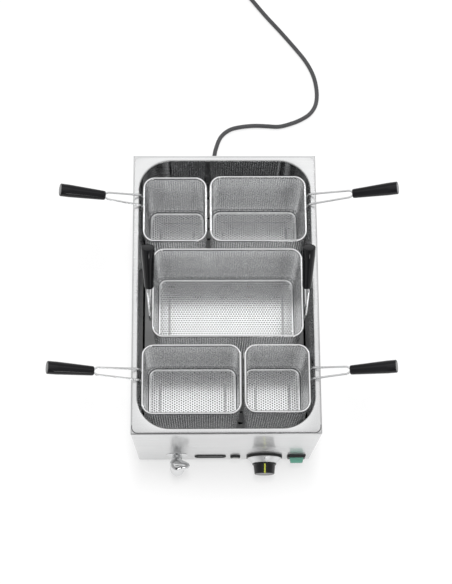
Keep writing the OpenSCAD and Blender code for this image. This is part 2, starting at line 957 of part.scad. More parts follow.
// Bare plate behind the panel, with a raised frame that comes out through the panel's opening
module recess_plate() color("darkgray") {
    l = recess_l - 2 * clear;
    h = recess_h - 2 * clear;
    on_panel(recess_x, lamp_z)
        difference() {
            translate([0, 0, -sheet - recess_plate_t]) {
                linear_extrude(recess_plate_t)
                    slot(recess_l + 2 * recess_rim, recess_h + 2 * recess_rim);
                linear_extrude(recess_plate_t + sheet + recess_frame_up)
                    slot(l, h);
            }
            translate([0, 0, recess_face_up])
                linear_extrude(recess_frame_up)
                    slot(l - 2 * recess_frame_w, h - 2 * recess_frame_w);
        }
}

// Drain

module drain_pipe() color("silver") {
    drain_y = drain_in - tank_d / 2;
    top_z = tank_floor_z - tank_t;
    in_body()
        translate([tap_x, drain_y, tap_z]) {
            translate([0, 0, pipe_bend_r])
                ring(pipe_d, pipe_d - 2 * pipe_t, top_z - tap_z - pipe_bend_r);
            translate([0, 0, top_z - tap_z - 2])
                ring(pipe_d + 12, pipe_d - 2 * pipe_t, 2);
            translate([0, -pipe_bend_r, pipe_bend_r])
                rotate([90, 0, 90])
                    rotate([0, 0, -90])
                        rotate_extrude(angle = 90)
                            translate([pipe_bend_r, 0])
                                difference() {
                                    circle(d = pipe_d);
                                    circle(d = pipe_d - 2 * pipe_t);
                                }
            translate([0, -pipe_bend_r, 0])
                rotate([90, 0, 0])
                    ring(pipe_d, pipe_d - 2 * pipe_t, drain_y - pipe_bend_r - front_y + tap_flange_t);
        }
}

// Round ring: outer diameter, bore, height
module ring(d, bore, h) {
    difference() {
        cylinder(h = h, d = d);
        translate([0, 0, -cut])
            cylinder(h = h + 2 * cut, d = bore);
    }
}

module tap_flange() color("silver") {
    on_panel(tap_x, tap_z)
        rotate_extrude()
            difference() {
                polygon([
                    [0, 0], [tap_flange_d / 2, 0], [tap_flange_d / 2, 1],
                    [pipe_d / 2 + 3, tap_flange_t], [0, tap_flange_t]
                ]);
                translate([0, -cut])
                    square([pipe_d / 2 + snug, tap_flange_t + 2 * cut]);
            }
}

module tap_body() color("silver") {
    bore = barrel_d - 4 * spout_wall;
    low_z = barrel_top_z - barrel_h;
    in_body()
        translate([tap_x, front_y - barrel_out, 0])
            difference() {
                union() {
                    translate([0, 0, low_z + spout_l])
                        cylinder(h = barrel_h - spout_l, d = barrel_d);
                    translate([0, 0, low_z])
                        cylinder(h = spout_l - spout_taper, d = spout_d);
                    translate([0, 0, low_z + spout_l - spout_taper])
                        cylinder(h = spout_taper, d1 = spout_d, d2 = barrel_d);
                    translate([0, 0, tap_z])
                        rotate([-90, 0, 0])
                            cylinder(h = barrel_out - tap_flange_t, d = pipe_d - 2);
                }
                translate([0, 0, low_z - cut])
                    cylinder(h = tap_z - low_z + cut, d = bore);
                translate([0, 0, tap_z])
                    rotate([-90, 0, 0])
                        cylinder(h = barrel_out, d = bore);
                translate([0, 0, barrel_top_z - spindle_l])
                    cylinder(h = spindle_l + cut, d = spindle_d + 2 * clear);
            }
}

module tap_lever() color("silver") {
    in_body()
        translate([tap_x, front_y - barrel_out, barrel_top_z + clear]) {
            rotate_extrude() {
                square([lever_d / 2, lever_dome_h / 3]);
                translate([0, lever_dome_h / 3])
                    intersection() {
                        scale(lever_d / 2)
                            circle(1);
                        square([lever_d / 2, lever_dome_h * 2 / 3]);
                    }
            }
            rotate([0, 0, -8])
                hull() {
                    cylinder(h = 6, d = lever_d * 0.7, $fn = 32);
                    translate([lever_l - lever_tip_d / 2, 0, 2])
                        cylinder(h = 5, d = lever_tip_d, $fn = 32);
                }
            translate([0, 0, clear - spindle_l])
                cylinder(h = spindle_l, d = spindle_d);
        }
}

// Baskets

// Size of a basket's wall in plan, out to out: its sheet runs up the middle of the rim wire
function wall_size(b) = [b[2] - rim_d + basket_t, b[3] - rim_d + basket_t];
wall_r = basket_r - rim_d / 2 + basket_t / 2;

// Children in a basket's own frame: middle of its underside
module at_basket(b) {
    in_body()
        translate([b[0], b[1], false_z])
            children();
}

// Plan of a basket's sheet, grown by more on both faces
module wall_plan(b, more) {
    s = wall_size(b);
    difference() {
        plan(s.x + 2 * more, s.y + 2 * more, wall_r + more);
        plan(s.x - 2 * basket_t - 2 * more, s.y - 2 * basket_t - 2 * more, wall_r - basket_t - more);
    }
}

module basket_wall(b) color("silver") {
    s = wall_size(b);
    at_basket(b) {
        linear_extrude(basket_h)
            wall_plan(b, 0);
        linear_extrude(basket_t)
            difference() {
                plan(s.x, s.y, wall_r);
                plan(s.x - 2 * ledge_w, s.y - 2 * ledge_w, wall_r - ledge_w);
            }
    }
}

// Perforated floor: rows of holes, every other row set half a pitch over
module basket_floor(b) color("whitesmoke") {
    s = wall_size(b);
    w = s.x - 2 * basket_t - 2 * clear;
    d = s.y - 2 * basket_t - 2 * clear;
    row = hole_pitch * sin(60);
    edge = ledge_w + hole_d;
    rows = floor((d / 2 - edge) / row);
    columns = floor((w / 2 - edge) / hole_pitch);
    at_basket(b)
        translate([0, 0, basket_t])
            linear_extrude(basket_t)
                difference() {
                    plan(w, d, wall_r - basket_t - clear);
                    for (j = [-rows:rows], i = [-columns:columns])
                        let (x = (i + (j % 2 == 0 ? 0 : 0.5)) * hole_pitch)
                        if (hole_fits(abs(x), abs(j * row), w / 2 - edge, d / 2 - edge))
                            translate([x, j * row])
                                circle(d = hole_d, $fn = 24);
                }
}

// Whether a hole's middle lies inside the floor's plain border and its round corners
function hole_fits(x, y, half_w, half_d) =
    let (r = wall_r - ledge_w, dx = max(0, x - half_w + r), dy = max(0, y - half_d + r))
    x < half_w && y < half_d && norm([dx, dy]) < r;

// Rim wire: straight runs and quarter bends, with the groove that the sheet's edge seats in
module basket_rim(b) color("whitesmoke") {
    r = basket_r - rim_d / 2;
    w = b[2] - rim_d;
    d = b[3] - rim_d;
    at_basket(b)
        difference() {
            translate([0, 0, basket_h]) {
                for (y = [-1, 1])
                    translate([0, y * d / 2, 0])
                        rotate([0, 90, 0])
                            cylinder(h = w - 2 * r, d = rim_d, center = true);
                for (x = [-1, 1])
                    translate([x * w / 2, 0, 0])
                        rotate([90, 0, 0])
                            cylinder(h = d - 2 * r, d = rim_d, center = true);
                for (x = [0, 1], y = [0, 1])
                    mirror([x, 0, 0])
                        mirror([0, y, 0])
                            translate([w / 2 - r, d / 2 - r, 0])
                                rotate_extrude(angle = 90)
                                    translate([r, 0])
                                        circle(d = rim_d);
            }
            translate([0, 0, basket_h - rim_d])
                linear_extrude(rim_d + snug)
                    wall_plan(b, snug);
        }
}

// Way of one handle's wire: up from a foot, along a leg into the grip, round and back to the other foot.
// f and g are the feet's upper ends, c the legs' outer end, a the grip's direction, s the legs' side vector
function handle_way(f, g, c, a, s) =
    let (drop = [0, 0, leg_up + foot_drop], in = c + a * neck_l, end = c + a * (neck_l + tang_l))
    rounded(
        [
            f - drop, f, c + s * leg_span / 2, in + s * tang_span / 2, end + s * tang_span / 2,
            end - s * tang_span / 2, in - s * tang_span / 2, c - s * leg_span / 2, g, g - drop
        ],
        [6, 5, 5, tang_span / 2 - snug, tang_span / 2 - snug, 5, 5, 6],
        4
    );

// Middle between a side handle's feet on the left or right of a basket, its legs' length and its direction
function rim_foot(b, side, y) = [b[0] + side * (b[2] / 2 + wire_r + snug), b[1] + y, rim_z + leg_up];
function side_foot(b, side) = rim_foot(b, side, b[1] > 0 ? rear_handle_y : front_handle_y);
function side_leg(b) = b[2] > small_w ? long_leg_l : leg_l;
function side_aim(side) = [side * cos(side_rise), 0, sin(side_rise)];

// The same for the wide basket's handles, which lean to the rear beside its ends
function wide_foot(b, side) = rim_foot(b, side, -wide_handle_y);
wide_aim = [0, cos(wide_rise), sin(wide_rise)];
function wide_side(side) =
    cos(wide_twist) * [0, -sin(wide_rise), cos(wide_rise)] + sin(wide_twist) * [side, 0, 0];

module side_handle(b, side) color("whitesmoke") {
    f = side_foot(b, side);
    c = f + side_aim(side) * side_leg(b);
    span = [0, foot_span / 2, 0];
    in_body()
        tube(handle_way(f + span, f - span, c, side_aim(side), [0, 1, 0]), wire_r, 8, [1, 0, 0]);
}

module wide_handles(b) color("whitesmoke") {
    span = [0, foot_span / 2, 0];
    in_body()
        for (side = [LEFT, RIGHT])
            let (f = wide_foot(b, side))
            tube(handle_way(f - span, f + span, f + wide_aim * wide_leg_l, wide_aim, wide_side(side)),
                wire_r, 8, [1, 0, 0]);
}

// Tapered grip with a bore for the wire's tang, along +Z from its inner end
module grip() {
    bore = tang_span + wire_d + 2 * clear;
    rotate_extrude()
        difference() {
            union() {
                polygon([
                    [0, 0], [grip_neck_d / 2 - grip_edge, 0], [grip_neck_d / 2, grip_edge],
                    [grip_d / 2, grip_l * 0.8], [grip_d / 2, grip_l - grip_edge], [0, grip_l - grip_edge]
                ]);
                translate([0, grip_l - grip_edge])
                    square([grip_d / 2 - grip_edge, grip_edge]);
                intersection() {
                    translate([grip_d / 2 - grip_edge, grip_l - grip_edge])
                        circle(grip_edge);
                    square([grip_d, grip_l]);
                }
            }
            translate([0, -cut])
                square([bore / 2, tang_l + wire_r + clear + cut]);
        }
}

module side_grip(b, side) color("#1c1c1e") {
    in_body()
        translate(side_foot(b, side) + side_aim(side) * (side_leg(b) + neck_l))
            rotate([0, side * (90 - side_rise), 0])
                grip();
}

module wide_grips(b) color("#1c1c1e") {
    in_body()
        for (side = [LEFT, RIGHT])
            translate(wide_foot(b, side) + wide_aim * (wide_leg_l + neck_l))
                rotate([wide_rise - 90, 0, 0])
                    grip();
}

// Cord

module cable_gland() color("#222224") {
    in_body()
        translate([outlet_x, rear_y, outlet_z])
            rotate([-90, 0, 0])
                rotate_extrude()
                    difference() {
                        union() {
                            translate([0, -6])
                                square([gland_tip_d / 2, 6]);
                            square([gland_flange_d / 2, 5]);
                            polygon([
                                [0, 5], [gland_flange_d / 2 - 3, 5],
                                [gland_tip_d / 2, gland_out], [0, gland_out]
                            ]);
                        }
                        translate([0, -7])
                            square([cord_d / 2 + snug, 7 + gland_out - 10]);
                    }
}

cord_path = curve(cord_points, cord_steps);

module power_cord() color("#3a3a3c") {
    tube(cord_path, cord_d / 2, cord_sides);
}

// Way round the coil: in by coil_turns on the table, up a layer in half a turn, out again on top
coil_rings = (2 * coil_turns + 0.5) * coil_loop_rings;
function coil_point(i) =
    let (
        turn = i / coil_loop_rings,
        climb = max(0, min(1, (turn - coil_turns) / 0.5)),
        back = coil_turns + 0.25,
        r = coil_r - coil_step * (back - abs(turn - back)),
        angle = coil_heading + 90 - 360 * turn
    )
    [coil_middle.x + r * cos(angle), coil_middle.y + r * sin(angle), coil_z + coil_step * climb];

coil_loops = [for (i = [0:coil_rings]) coil_point(i)];
coil_end = coil_loops[len(coil_loops) - 1];
coil_out = [-cos(coil_heading), -sin(coil_heading), 0];
plug_at = [coil_end.x, coil_end.y, plug_z] + coil_out * coil_tail;
coil_climb = [0, 0, plug_z - coil_end.z];
coil_path = concat(
    coil_loops,
    [for (f = [0.3, 0.55]) coil_end + coil_out * coil_tail * f + coil_climb * (f - 0.2) * 2],
    [plug_at - coil_out * cord_d, plug_at]
);

// Least gap between stretches of the coil that are more than a third of a turn apart
coil_least = min([for (i = [0:coil_rings - 9], j = [i + 9:coil_rings])
    norm(coil_loops[i] - coil_loops[j])]) - cord_d;
echo(coil_least_gap = coil_least);

module cord_coil() color("#3a3a3c") {
    tube(coil_path, cord_d / 2, coil_sides);
}

// Strap round all the coil's loops, a quarter turn on from where the cord comes in
module cord_tie() color("black") {
    // Least radius of the coil's inside under the strap, which the spiral narrows along the strap's width
    least_r = coil_r - coil_step * coil_turns - cord_d / 2;
    in_r = sqrt(pow(least_r - coil_gap, 2) - pow(tie_w / 2, 2)) - 2 * clear;
    out_r = coil_r + cord_d / 2 + 2 * clear;
    high = 2 * coil_z + coil_step - 2 * tie_t;
    translate([coil_middle.x, coil_middle.y, 0])
        rotate([0, 0, coil_heading - 90])
            difference() {
                translate([in_r - tie_t, -tie_w / 2, 0])
                    cube([out_r - in_r + 2 * tie_t, tie_w, high + 2 * tie_t]);
                translate([in_r, -tie_w, tie_t])
                    cube([out_r - in_r, 2 * tie_w, high]);
            }
}

// Children at the plug's cord end, turned so that their +Z points along the plug
module at_plug() {
    translate(plug_at)
        rotate([0, 90, coil_heading + 180])
            children();
}

module plug_body() color("#222224") {
    at_plug()
        rotate_extrude() {
            polygon([
                [0, 0], [plug_neck_d / 2 - 1, 0], [plug_neck_d / 2 + 2, plug_neck_l],
                [plug_d / 2 - 3, plug_neck_l + 5], [plug_d / 2, plug_neck_l + 9],
                [plug_d / 2, plug_neck_l + plug_l], [0, plug_neck_l + plug_l]
            ]);
        }
}

module plug_pins() color("silver") {
    at_plug()
        for (y = [-1, 1])
            translate([0, y * pin_span / 2, plug_neck_l + plug_l])
                cylinder(h = pin_l, d = pin_d);
}

case_shell();
rear_panel();
rear_screws();
base_plate();
feet();
foot_screws();
tank_deck();
false_bottom();
heating_element();
element_rests();
tank_glands();
thermostat_bulb();
thermostat_body();
thermostat_shaft();
safety_cutout();
terminal_block();
knob_gasket();
dial_cone();
knob();
knob_index();
rocker_housing();
rocker_cap();
lamp_ring();
lamp_lens();
recess_plate();
drain_pipe();
tap_flange();
tap_body();
tap_lever();
basket_wall(REAR_LEFT);  // rear_left_wall
basket_floor(REAR_LEFT);  // rear_left_floor
basket_rim(REAR_LEFT);  // rear_left_rim
side_handle(REAR_LEFT, LEFT);  // rear_left_handle
side_grip(REAR_LEFT, LEFT);  // rear_left_grip
basket_wall(REAR_RIGHT);  // rear_right_wall
basket_floor(REAR_RIGHT);  // rear_right_floor
basket_rim(REAR_RIGHT);  // rear_right_rim
side_handle(REAR_RIGHT, RIGHT);  // rear_right_handle
side_grip(REAR_RIGHT, RIGHT);  // rear_right_grip
basket_wall(MIDDLE);  // middle_wall
basket_floor(MIDDLE);  // middle_floor
basket_rim(MIDDLE);  // middle_rim
wide_handles(MIDDLE);  // middle_handles
wide_grips(MIDDLE);  // middle_grips
basket_wall(FRONT_LEFT);  // front_left_wall
basket_floor(FRONT_LEFT);  // front_left_floor
basket_rim(FRONT_LEFT);  // front_left_rim
side_handle(FRONT_LEFT, LEFT);  // front_left_handle
side_grip(FRONT_LEFT, LEFT);  // front_left_grip
basket_wall(FRONT_RIGHT);  // front_right_wall
basket_floor(FRONT_RIGHT);  // front_right_floor
basket_rim(FRONT_RIGHT);  // front_right_rim
side_handle(FRONT_RIGHT, RIGHT);  // front_right_handle
side_grip(FRONT_RIGHT, RIGHT);  // front_right_grip
cable_gland();
power_cord();
cord_coil();
cord_tie();
plug_body();
plug_pins();
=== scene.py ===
"""Countertop pasta cooker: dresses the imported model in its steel, perforated baskets, controls and cord."""

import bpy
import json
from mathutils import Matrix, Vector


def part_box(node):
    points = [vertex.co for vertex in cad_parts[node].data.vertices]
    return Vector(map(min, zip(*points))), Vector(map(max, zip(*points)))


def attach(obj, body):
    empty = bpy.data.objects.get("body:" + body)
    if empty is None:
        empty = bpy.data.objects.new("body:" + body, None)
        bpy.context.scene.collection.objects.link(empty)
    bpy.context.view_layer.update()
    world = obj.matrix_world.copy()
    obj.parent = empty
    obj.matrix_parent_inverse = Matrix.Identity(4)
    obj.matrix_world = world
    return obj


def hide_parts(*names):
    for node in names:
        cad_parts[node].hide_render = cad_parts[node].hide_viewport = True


bl_info = {
    "name": "Countertop Pasta Cooker",
    "version": (1, 0, 0),
    "blender": (4, 5, 0),
    "location": "View3D > Sidebar > Cooker",
    "description": "Dresses a packed pasta cooker in steel, perforated baskets, controls, cord and studio",
    "category": "Object",
}

import json
import math

import bmesh
import bpy
import numpy as np
from mathutils import Matrix, Vector
from mathutils.geometry import delaunay_2d_cdt

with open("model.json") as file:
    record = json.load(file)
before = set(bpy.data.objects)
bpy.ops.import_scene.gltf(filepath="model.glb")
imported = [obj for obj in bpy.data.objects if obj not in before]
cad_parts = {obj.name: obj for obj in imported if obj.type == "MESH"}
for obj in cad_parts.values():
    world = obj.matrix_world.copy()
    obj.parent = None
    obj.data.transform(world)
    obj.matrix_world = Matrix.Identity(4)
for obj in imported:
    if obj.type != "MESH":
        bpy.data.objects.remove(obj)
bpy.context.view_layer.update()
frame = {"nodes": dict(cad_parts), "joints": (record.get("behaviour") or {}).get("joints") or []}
CAD = frame["nodes"]

MM = 0.001
SNUG = 0.1 * MM
LEFT, RIGHT = -1, 1

DECK_SHEET = 1.5 * MM
TANK_SHEET = 1.2 * MM
DECK_LOW, DECK_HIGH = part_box("tank_deck")
REAR_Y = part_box("rear_panel")[1].y
FRONT_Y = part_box("case_shell")[0].y
MIDDLE_Y = (FRONT_Y + REAR_Y) / 2
DECK_Z = DECK_HIGH.z
TANK_FLOOR_Z = DECK_LOW.z + TANK_SHEET
FALSE_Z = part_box("false_bottom")[1].z
TAP_AXIS = next(joint["pos_m"] for joint in frame["joints"] if joint["name"] == "tap_turn")

BASKETS = ("rear_left", "rear_right", "middle", "front_left", "front_right")
SIDE_BASKETS = {"rear_left": LEFT, "rear_right": RIGHT, "front_left": LEFT, "front_right": RIGHT}
LARGE_BASKETS = ("rear_right", "front_left")

# The photograph's height and the lens's focal length in its pixels, and the sensor's width in millimetres
PHOTO_HEIGHT = 584
FOCAL_LENGTH = 1203.536
SENSOR_WIDTH = 36
# How the camera stands: its rise, turn and roll in degrees, its distance from the point that it faces, that
# point from the deck's middle, the upward shift of its frame, and how far it sees
CAMERA_RISE, CAMERA_TURN, CAMERA_ROLL = 76.505, -4.118, 3.823
CAMERA_AWAY = 2.157
CAMERA_AIM_Y = -0.13276
CAMERA_SHIFT = 0.12
CAMERA_SIGHT = 50

# The studio floor: half its width, its corner radius, its depth under the feet, and the share that glows
FLOOR_REACH = 14
FLOOR_CORNER = 2
FLOOR_DROP = 0.5 * MM
FLOOR_GLOW = 0.6

# How bright the room is by direction: each step goes from one share of a unit direction to another, and
# from one level to another
OVERHEAD_BY_DEPTH = (-0.06, 0.12, 0, 1)
OVERHEAD_BY_HEIGHT = (0.4, 0.85, 0, 1)
PANEL_BY_DEPTH = (0.15, 0.36, 1, 1.28)
GAP_BY_SIDE = (0.1, 0.4, 0.15, 1)
GAP_BY_DEPTH = (-0.3, 0, 0, 1)
LENS_BY_DEPTH = (-0.2, -0.42, 0, 1)
CEILING_BY_HEIGHT = (0.66, 0.93, 0, 1)
WALLS_BY_HEIGHT = (0.25, 0.65, 0.6, 0.42)

# Soft lamps: name, place, the point it faces, its width and height, its power, and whether metal mirrors it
SOFTBOXES = (
    ("strip_left", (-1.5, 0.9, 1.5), (0, 0.1, 0.3), (0.06, 1.1), 1.0, True),
    ("strip_right", (1.5, 0.9, 1.5), (0, 0.1, 0.3), (0.06, 1.1), 1.0, True),
    ("strip_front", (0.5, -2.2, 0.8), (-0.25, 0, 0.35), (0.6, 0.3), 3.0, True),
    ("floor_light", (0, 0.1, 4.0), (0, 0, 0), (0.4, 1.2), 96.0, False),
)

# The mains cord's way from the gland's tip: x and y in metres, y from the tip, and the height as a share of
# the outlet's height over a cord that lies on the table.
CORD_ROUTE = (
    (-0.020, 0.000, 1), (-0.020, 0.018, 0.96), (-0.020, 0.046, 0.6), (-0.018, 0.076, 0.15),
    (-0.014, 0.106, 0), (-0.003, 0.135, 0), (0.016, 0.152, 0), (0.040, 0.159, 0),
    (0.070, 0.162, 0), (0.098, 0.161, 0), (0.122, 0.160, 0), (0.146, 0.166, 0),
    (0.170, 0.176, 0), (0.190, 0.190, 0), (0.202, 0.209, 0), (0.206, 0.232, 0),
    (0.204, 0.260, 0), (0.197, 0.286, 0), (0.183, 0.314, 0), (0.163, 0.342, 0),
    (0.130, 0.384, 0), (0.099, 0.421, 0.01), (0.072, 0.456, 0.02), (0.048, 0.488, 0.02),
    (0.036, 0.504, 0.02),
)
# The coil: its turns, those on the table, the part of a turn in which it climbs, and the points in a turn
COIL_TURNS = 4.5
COIL_LOW_TURNS = 2
COIL_CLIMB = 0.5
COIL_POINTS = 48
# The plug's cord end: its height, and how far it lies from the coil's end
PLUG_Z = 0.019
PLUG_AWAY = 0.034

# Handles: half the distance between the feet, how far they reach below the rim, how far past the legs' end
# the grip starts and the wire turns back, and where the wide basket's handles stand from its middle
FOOT_SPAN = 10 * MM
FOOT_DROP = 12 * MM
GRIP_START = 6 * MM
TANG_END = 30 * MM
WIDE_FOOT_Y = -38 * MM

# Corners of a rectangle as signs of x and y, anticlockwise from the right rear
CORNERS = ((1, 1), (-1, 1), (-1, -1), (1, -1))

# The angle in degrees over which an edge is drawn sharp, and the range that most of a noise's values lie in
SHARP_ANGLE = 35
NOISE_RANGE = (0.3, 0.7)


class CookerSizes(bpy.types.PropertyGroup):
    """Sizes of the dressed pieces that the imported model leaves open."""

    hole_d: bpy.props.FloatProperty(
        name="Hole", description="Diameter of a hole in the basket sheet",
        default=0.003, unit="LENGTH")
    hole_pitch: bpy.props.FloatProperty(
        name="Hole pitch", description="Distance between holes in the basket sheet",
        default=0.005, unit="LENGTH")
    hole_sides: bpy.props.IntProperty(
        name="Hole sides", description="Straight sides that make up a hole in a floor",
        default=8, min=6, max=24)
    wall_hole_sides: bpy.props.IntProperty(
        name="Wall hole sides", description="Straight sides that make up a hole in a wall",
        default=6, min=6, max=24)
    basket_t: bpy.props.FloatProperty(
        name="Basket sheet", description="Thickness of the basket sheet",
        default=0.001, unit="LENGTH")
    wall_t: bpy.props.FloatProperty(
        name="Wall sheet",
        description="Thickness of the perforated sheet of the walls between its hole edges",
        default=0.0008, unit="LENGTH")
    basket_r: bpy.props.FloatProperty(
        name="Basket corner", description="Corner radius of a basket over its rim",
        default=0.022, unit="LENGTH")
    rim_d: bpy.props.FloatProperty(
        name="Rim wire", description="Diameter of the rim wire",
        default=0.005, unit="LENGTH")
    floor_bend: bpy.props.FloatProperty(
        name="Floor bend", description="Radius of the bend between a basket's floor and wall",
        default=0.005, unit="LENGTH")
    floor_border: bpy.props.FloatProperty(
        name="Floor border", description="Width of the border round the raised middle of a basket's floor",
        default=0.018, unit="LENGTH")
    floor_raise: bpy.props.FloatProperty(
        name="Floor raise", description="Height of the raised middle of a basket's floor",
        default=0.0006, unit="LENGTH")
    wire_d: bpy.props.FloatProperty(
        name="Handle wire", description="Diameter of the handle wire",
        default=0.004, unit="LENGTH")
    leg_l: bpy.props.FloatProperty(
        name="Short leg", description="Length of the small baskets' handle legs",
        default=0.063, unit="LENGTH")
    long_leg_l: bpy.props.FloatProperty(
        name="Long leg", description="Length of the large baskets' handle legs",
        default=0.078, unit="LENGTH")
    wide_leg_l: bpy.props.FloatProperty(
        name="Wide basket's leg", description="Length of the wide basket's handle legs",
        default=0.044, unit="LENGTH")
    leg_up: bpy.props.FloatProperty(
        name="Leg height", description="Height over the rim at which the legs bend out",
        default=0.014, unit="LENGTH")
    leg_span: bpy.props.FloatProperty(
        name="Leg span", description="Distance between a handle's legs at the grip",
        default=0.013, unit="LENGTH")
    tang_span: bpy.props.FloatProperty(
        name="Tang span", description="Distance between the wire's two runs in the grip",
        default=0.0064, unit="LENGTH")
    side_rise: bpy.props.FloatProperty(
        name="Side rise", description="Rise of the side handles",
        default=math.radians(20), subtype="ANGLE")
    wide_rise: bpy.props.FloatProperty(
        name="Wide rise", description="Rise of the wide basket's handles",
        default=math.radians(50), subtype="ANGLE")
    wide_twist: bpy.props.FloatProperty(
        name="Wide twist", description="Turn of the wide basket's handle legs about the grip",
        default=math.radians(25), subtype="ANGLE")
    grip_l: bpy.props.FloatProperty(
        name="Grip", description="Length of a grip",
        default=0.083, unit="LENGTH")
    grip_d: bpy.props.FloatProperty(
        name="Grip end", description="Diameter of a grip at its outer end",
        default=0.023, unit="LENGTH")
    grip_neck_d: bpy.props.FloatProperty(
        name="Grip neck", description="Diameter of a grip at the wire",
        default=0.017, unit="LENGTH")
    tank_r: bpy.props.FloatProperty(
        name="Tank corner", description="Corner radius of the tank in plan",
        default=0.058, unit="LENGTH")
    tank_floor_r: bpy.props.FloatProperty(
        name="Tank floor bend", description="Radius between the tank's walls and floor",
        default=0.018, unit="LENGTH")
    tank_lip: bpy.props.FloatProperty(
        name="Tank lip", description="Radius of the roll from the deck into the tank",
        default=0.003, unit="LENGTH")
    deck_r: bpy.props.FloatProperty(
        name="Deck corner", description="Corner radius of the deck plate",
        default=0.01, unit="LENGTH")
    cord_d: bpy.props.FloatProperty(
        name="Cord", description="Diameter of the mains cord",
        default=0.0088, unit="LENGTH")
    coil_r: bpy.props.FloatProperty(
        name="Coil", description="Radius of the coil's outer turn",
        default=0.046, unit="LENGTH")
    coil_gap: bpy.props.FloatProperty(
        name="Coil gap", description="Gap between neighbouring turns of the coil",
        default=0.0008, unit="LENGTH")


class CookerColours(bpy.types.PropertyGroup):
    """Colours of the finishes, as linear light."""

    case: bpy.props.FloatVectorProperty(
        name="Case steel", description="Satin sheet of the case and deck",
        default=(0.62, 0.623, 0.626), subtype="COLOR")
    # The tank's steel is set darker than the case's: painted shade for the deep tank.
    tank: bpy.props.FloatVectorProperty(
        name="Tank steel", description="Pressed sheet of the tank",
        default=(0.48, 0.484, 0.49), subtype="COLOR")
    basket: bpy.props.FloatVectorProperty(
        name="Basket steel", description="Perforated sheet",
        default=(0.74, 0.745, 0.75), subtype="COLOR")
    wire: bpy.props.FloatVectorProperty(
        name="Wire", description="Polished wire of rims and handles",
        default=(0.82, 0.825, 0.83), subtype="COLOR")
    chrome: bpy.props.FloatVectorProperty(
        name="Chrome", description="Bright chrome of the tap",
        default=(0.68, 0.685, 0.69), subtype="COLOR")
    black: bpy.props.FloatVectorProperty(
        name="Black plastic", description="Glossy black of the grips and knob",
        default=(0.008, 0.008, 0.009), subtype="COLOR")
    rubber: bpy.props.FloatVectorProperty(
        name="Rubber", description="Matte black of the feet, gasket and plug",
        default=(0.018, 0.018, 0.019), subtype="COLOR")
    cord: bpy.props.FloatVectorProperty(
        name="Cord", description="Sheath of the mains cord",
        default=(0.055, 0.055, 0.058), subtype="COLOR")
    green: bpy.props.FloatVectorProperty(
        name="Switch green", description="Rocker of the mains switch",
        default=(0.15, 0.44, 0.33), subtype="COLOR")
    index: bpy.props.FloatVectorProperty(
        name="Index", description="Index line of the knob",
        default=(0.62, 0.66, 0.07), subtype="COLOR")
    floor: bpy.props.FloatVectorProperty(
        name="Studio floor", description="Pale studio floor",
        default=(0.92, 0.92, 0.92), subtype="COLOR")


# Forms


def unit(vector):
    """The vector at length one."""
    vector = np.asarray(vector, float)
    return vector / np.linalg.norm(vector)


def bent(points, radii, steps=8):
    """A polyline whose inner corners are rounded, each to its own radius."""
    points = [np.asarray(p, float) for p in points]
    way = [points[0]]
    for before, corner, after, radius in zip(points, points[1:], points[2:], radii):
        if radius <= 0:
            way.append(corner)
            continue
        u, v = unit(before - corner), unit(after - corner)
        half = math.acos(float(np.clip(u @ v, -1, 1))) / 2
        middle = corner + unit(u + v) * radius / math.sin(half)
        start = corner + u * radius / math.tan(half) - middle
        end = corner + v * radius / math.tan(half) - middle
        turn = math.pi - 2 * half
        for k in range(steps + 1):
            share = k / steps
            way.append(middle + (math.sin(turn * (1 - share)) * start + math.sin(turn * share) * end)
                       / math.sin(turn))
    way.append(points[-1])
    return np.array(way)


def smooth_way(points, steps):
    """A smooth curve through points, with a number of steps between each two."""
    p = np.asarray(points, float)
    way = []
    for i in range(len(p) - 1):
        a, b, c, d = p[max(i - 1, 0)], p[i], p[i + 1], p[min(i + 2, len(p) - 1)]
        for k in range(steps):
            f = k / steps
            bow, skew = 2 * a - 5 * b + 4 * c - d, 3 * b - a - 3 * c + d
            way.append(b + ((c - a) * f + bow * f * f + skew * f ** 3) / 2)
    way.append(p[-1])
    return np.array(way)


def swept(path, radius, sides=14):
    """Vertices and faces of a closed round tube along a path."""
    path = np.asarray(path, float)
    n = len(path)
    radius = np.broadcast_to(np.asarray(radius, float), (n,))
    ahead = np.array([unit(path[min(i + 1, n - 1)] - path[max(i - 1, 0)]) for i in range(n)])
    side = np.array([0.0, 0.0, 1.0]) if abs(ahead[0][2]) < 0.9 else np.array([1.0, 0.0, 0.0])
    angles = np.arange(sides) * 2 * math.pi / sides
    vertices = []
    for i in range(n):
        side = unit(side - ahead[i] * (side @ ahead[i]))
        other = np.cross(ahead[i], side)
        around = np.outer(np.cos(angles), side) + np.outer(np.sin(angles), other)
        vertices.append(path[i] + radius[i] * around)
    faces = []
    for i in range(n - 1):
        for k in range(sides):
            a, b = i * sides + k, i * sides + (k + 1) % sides
            faces.append((a, b, b + sides, a + sides))
    faces.append(tuple(range(sides - 1, -1, -1)))
    faces.append(tuple(range((n - 1) * sides, n * sides)))
    return np.concatenate(vertices), faces


def turned(profile, origin, axis, segments=48):
    """Vertices and faces of a form turned about an axis, from (radius, height) pairs."""
    axis = unit(axis)
    side = unit(np.cross(axis, (0, 0, 1) if abs(axis[2]) < 0.9 else (1, 0, 0)))
    other = np.cross(axis, side)
    origin = np.asarray(origin, float)
    vertices, rings = [], []
    for radius, height in profile:
        if radius < 1e-7:
            rings.append([len(vertices)] * segments)
            vertices.append(origin + axis * height)
        else:
            start = len(vertices)
            rings.append(list(range(start, start + segments)))
            for k in range(segments):
                angle = 2 * math.pi * k / segments
                vertices.append(origin + axis * height
                                + radius * (math.cos(angle) * side + math.sin(angle) * other))
    faces = []
    for low, high in zip(rings, rings[1:]):
        for k in range(segments):
            m = (k + 1) % segments
            face = []
            for index in (low[k], low[m], high[m], high[k]):
                if index not in face:
                    face.append(index)
            if len(face) > 2:
                faces.append(tuple(face))
    return np.array(vertices), faces


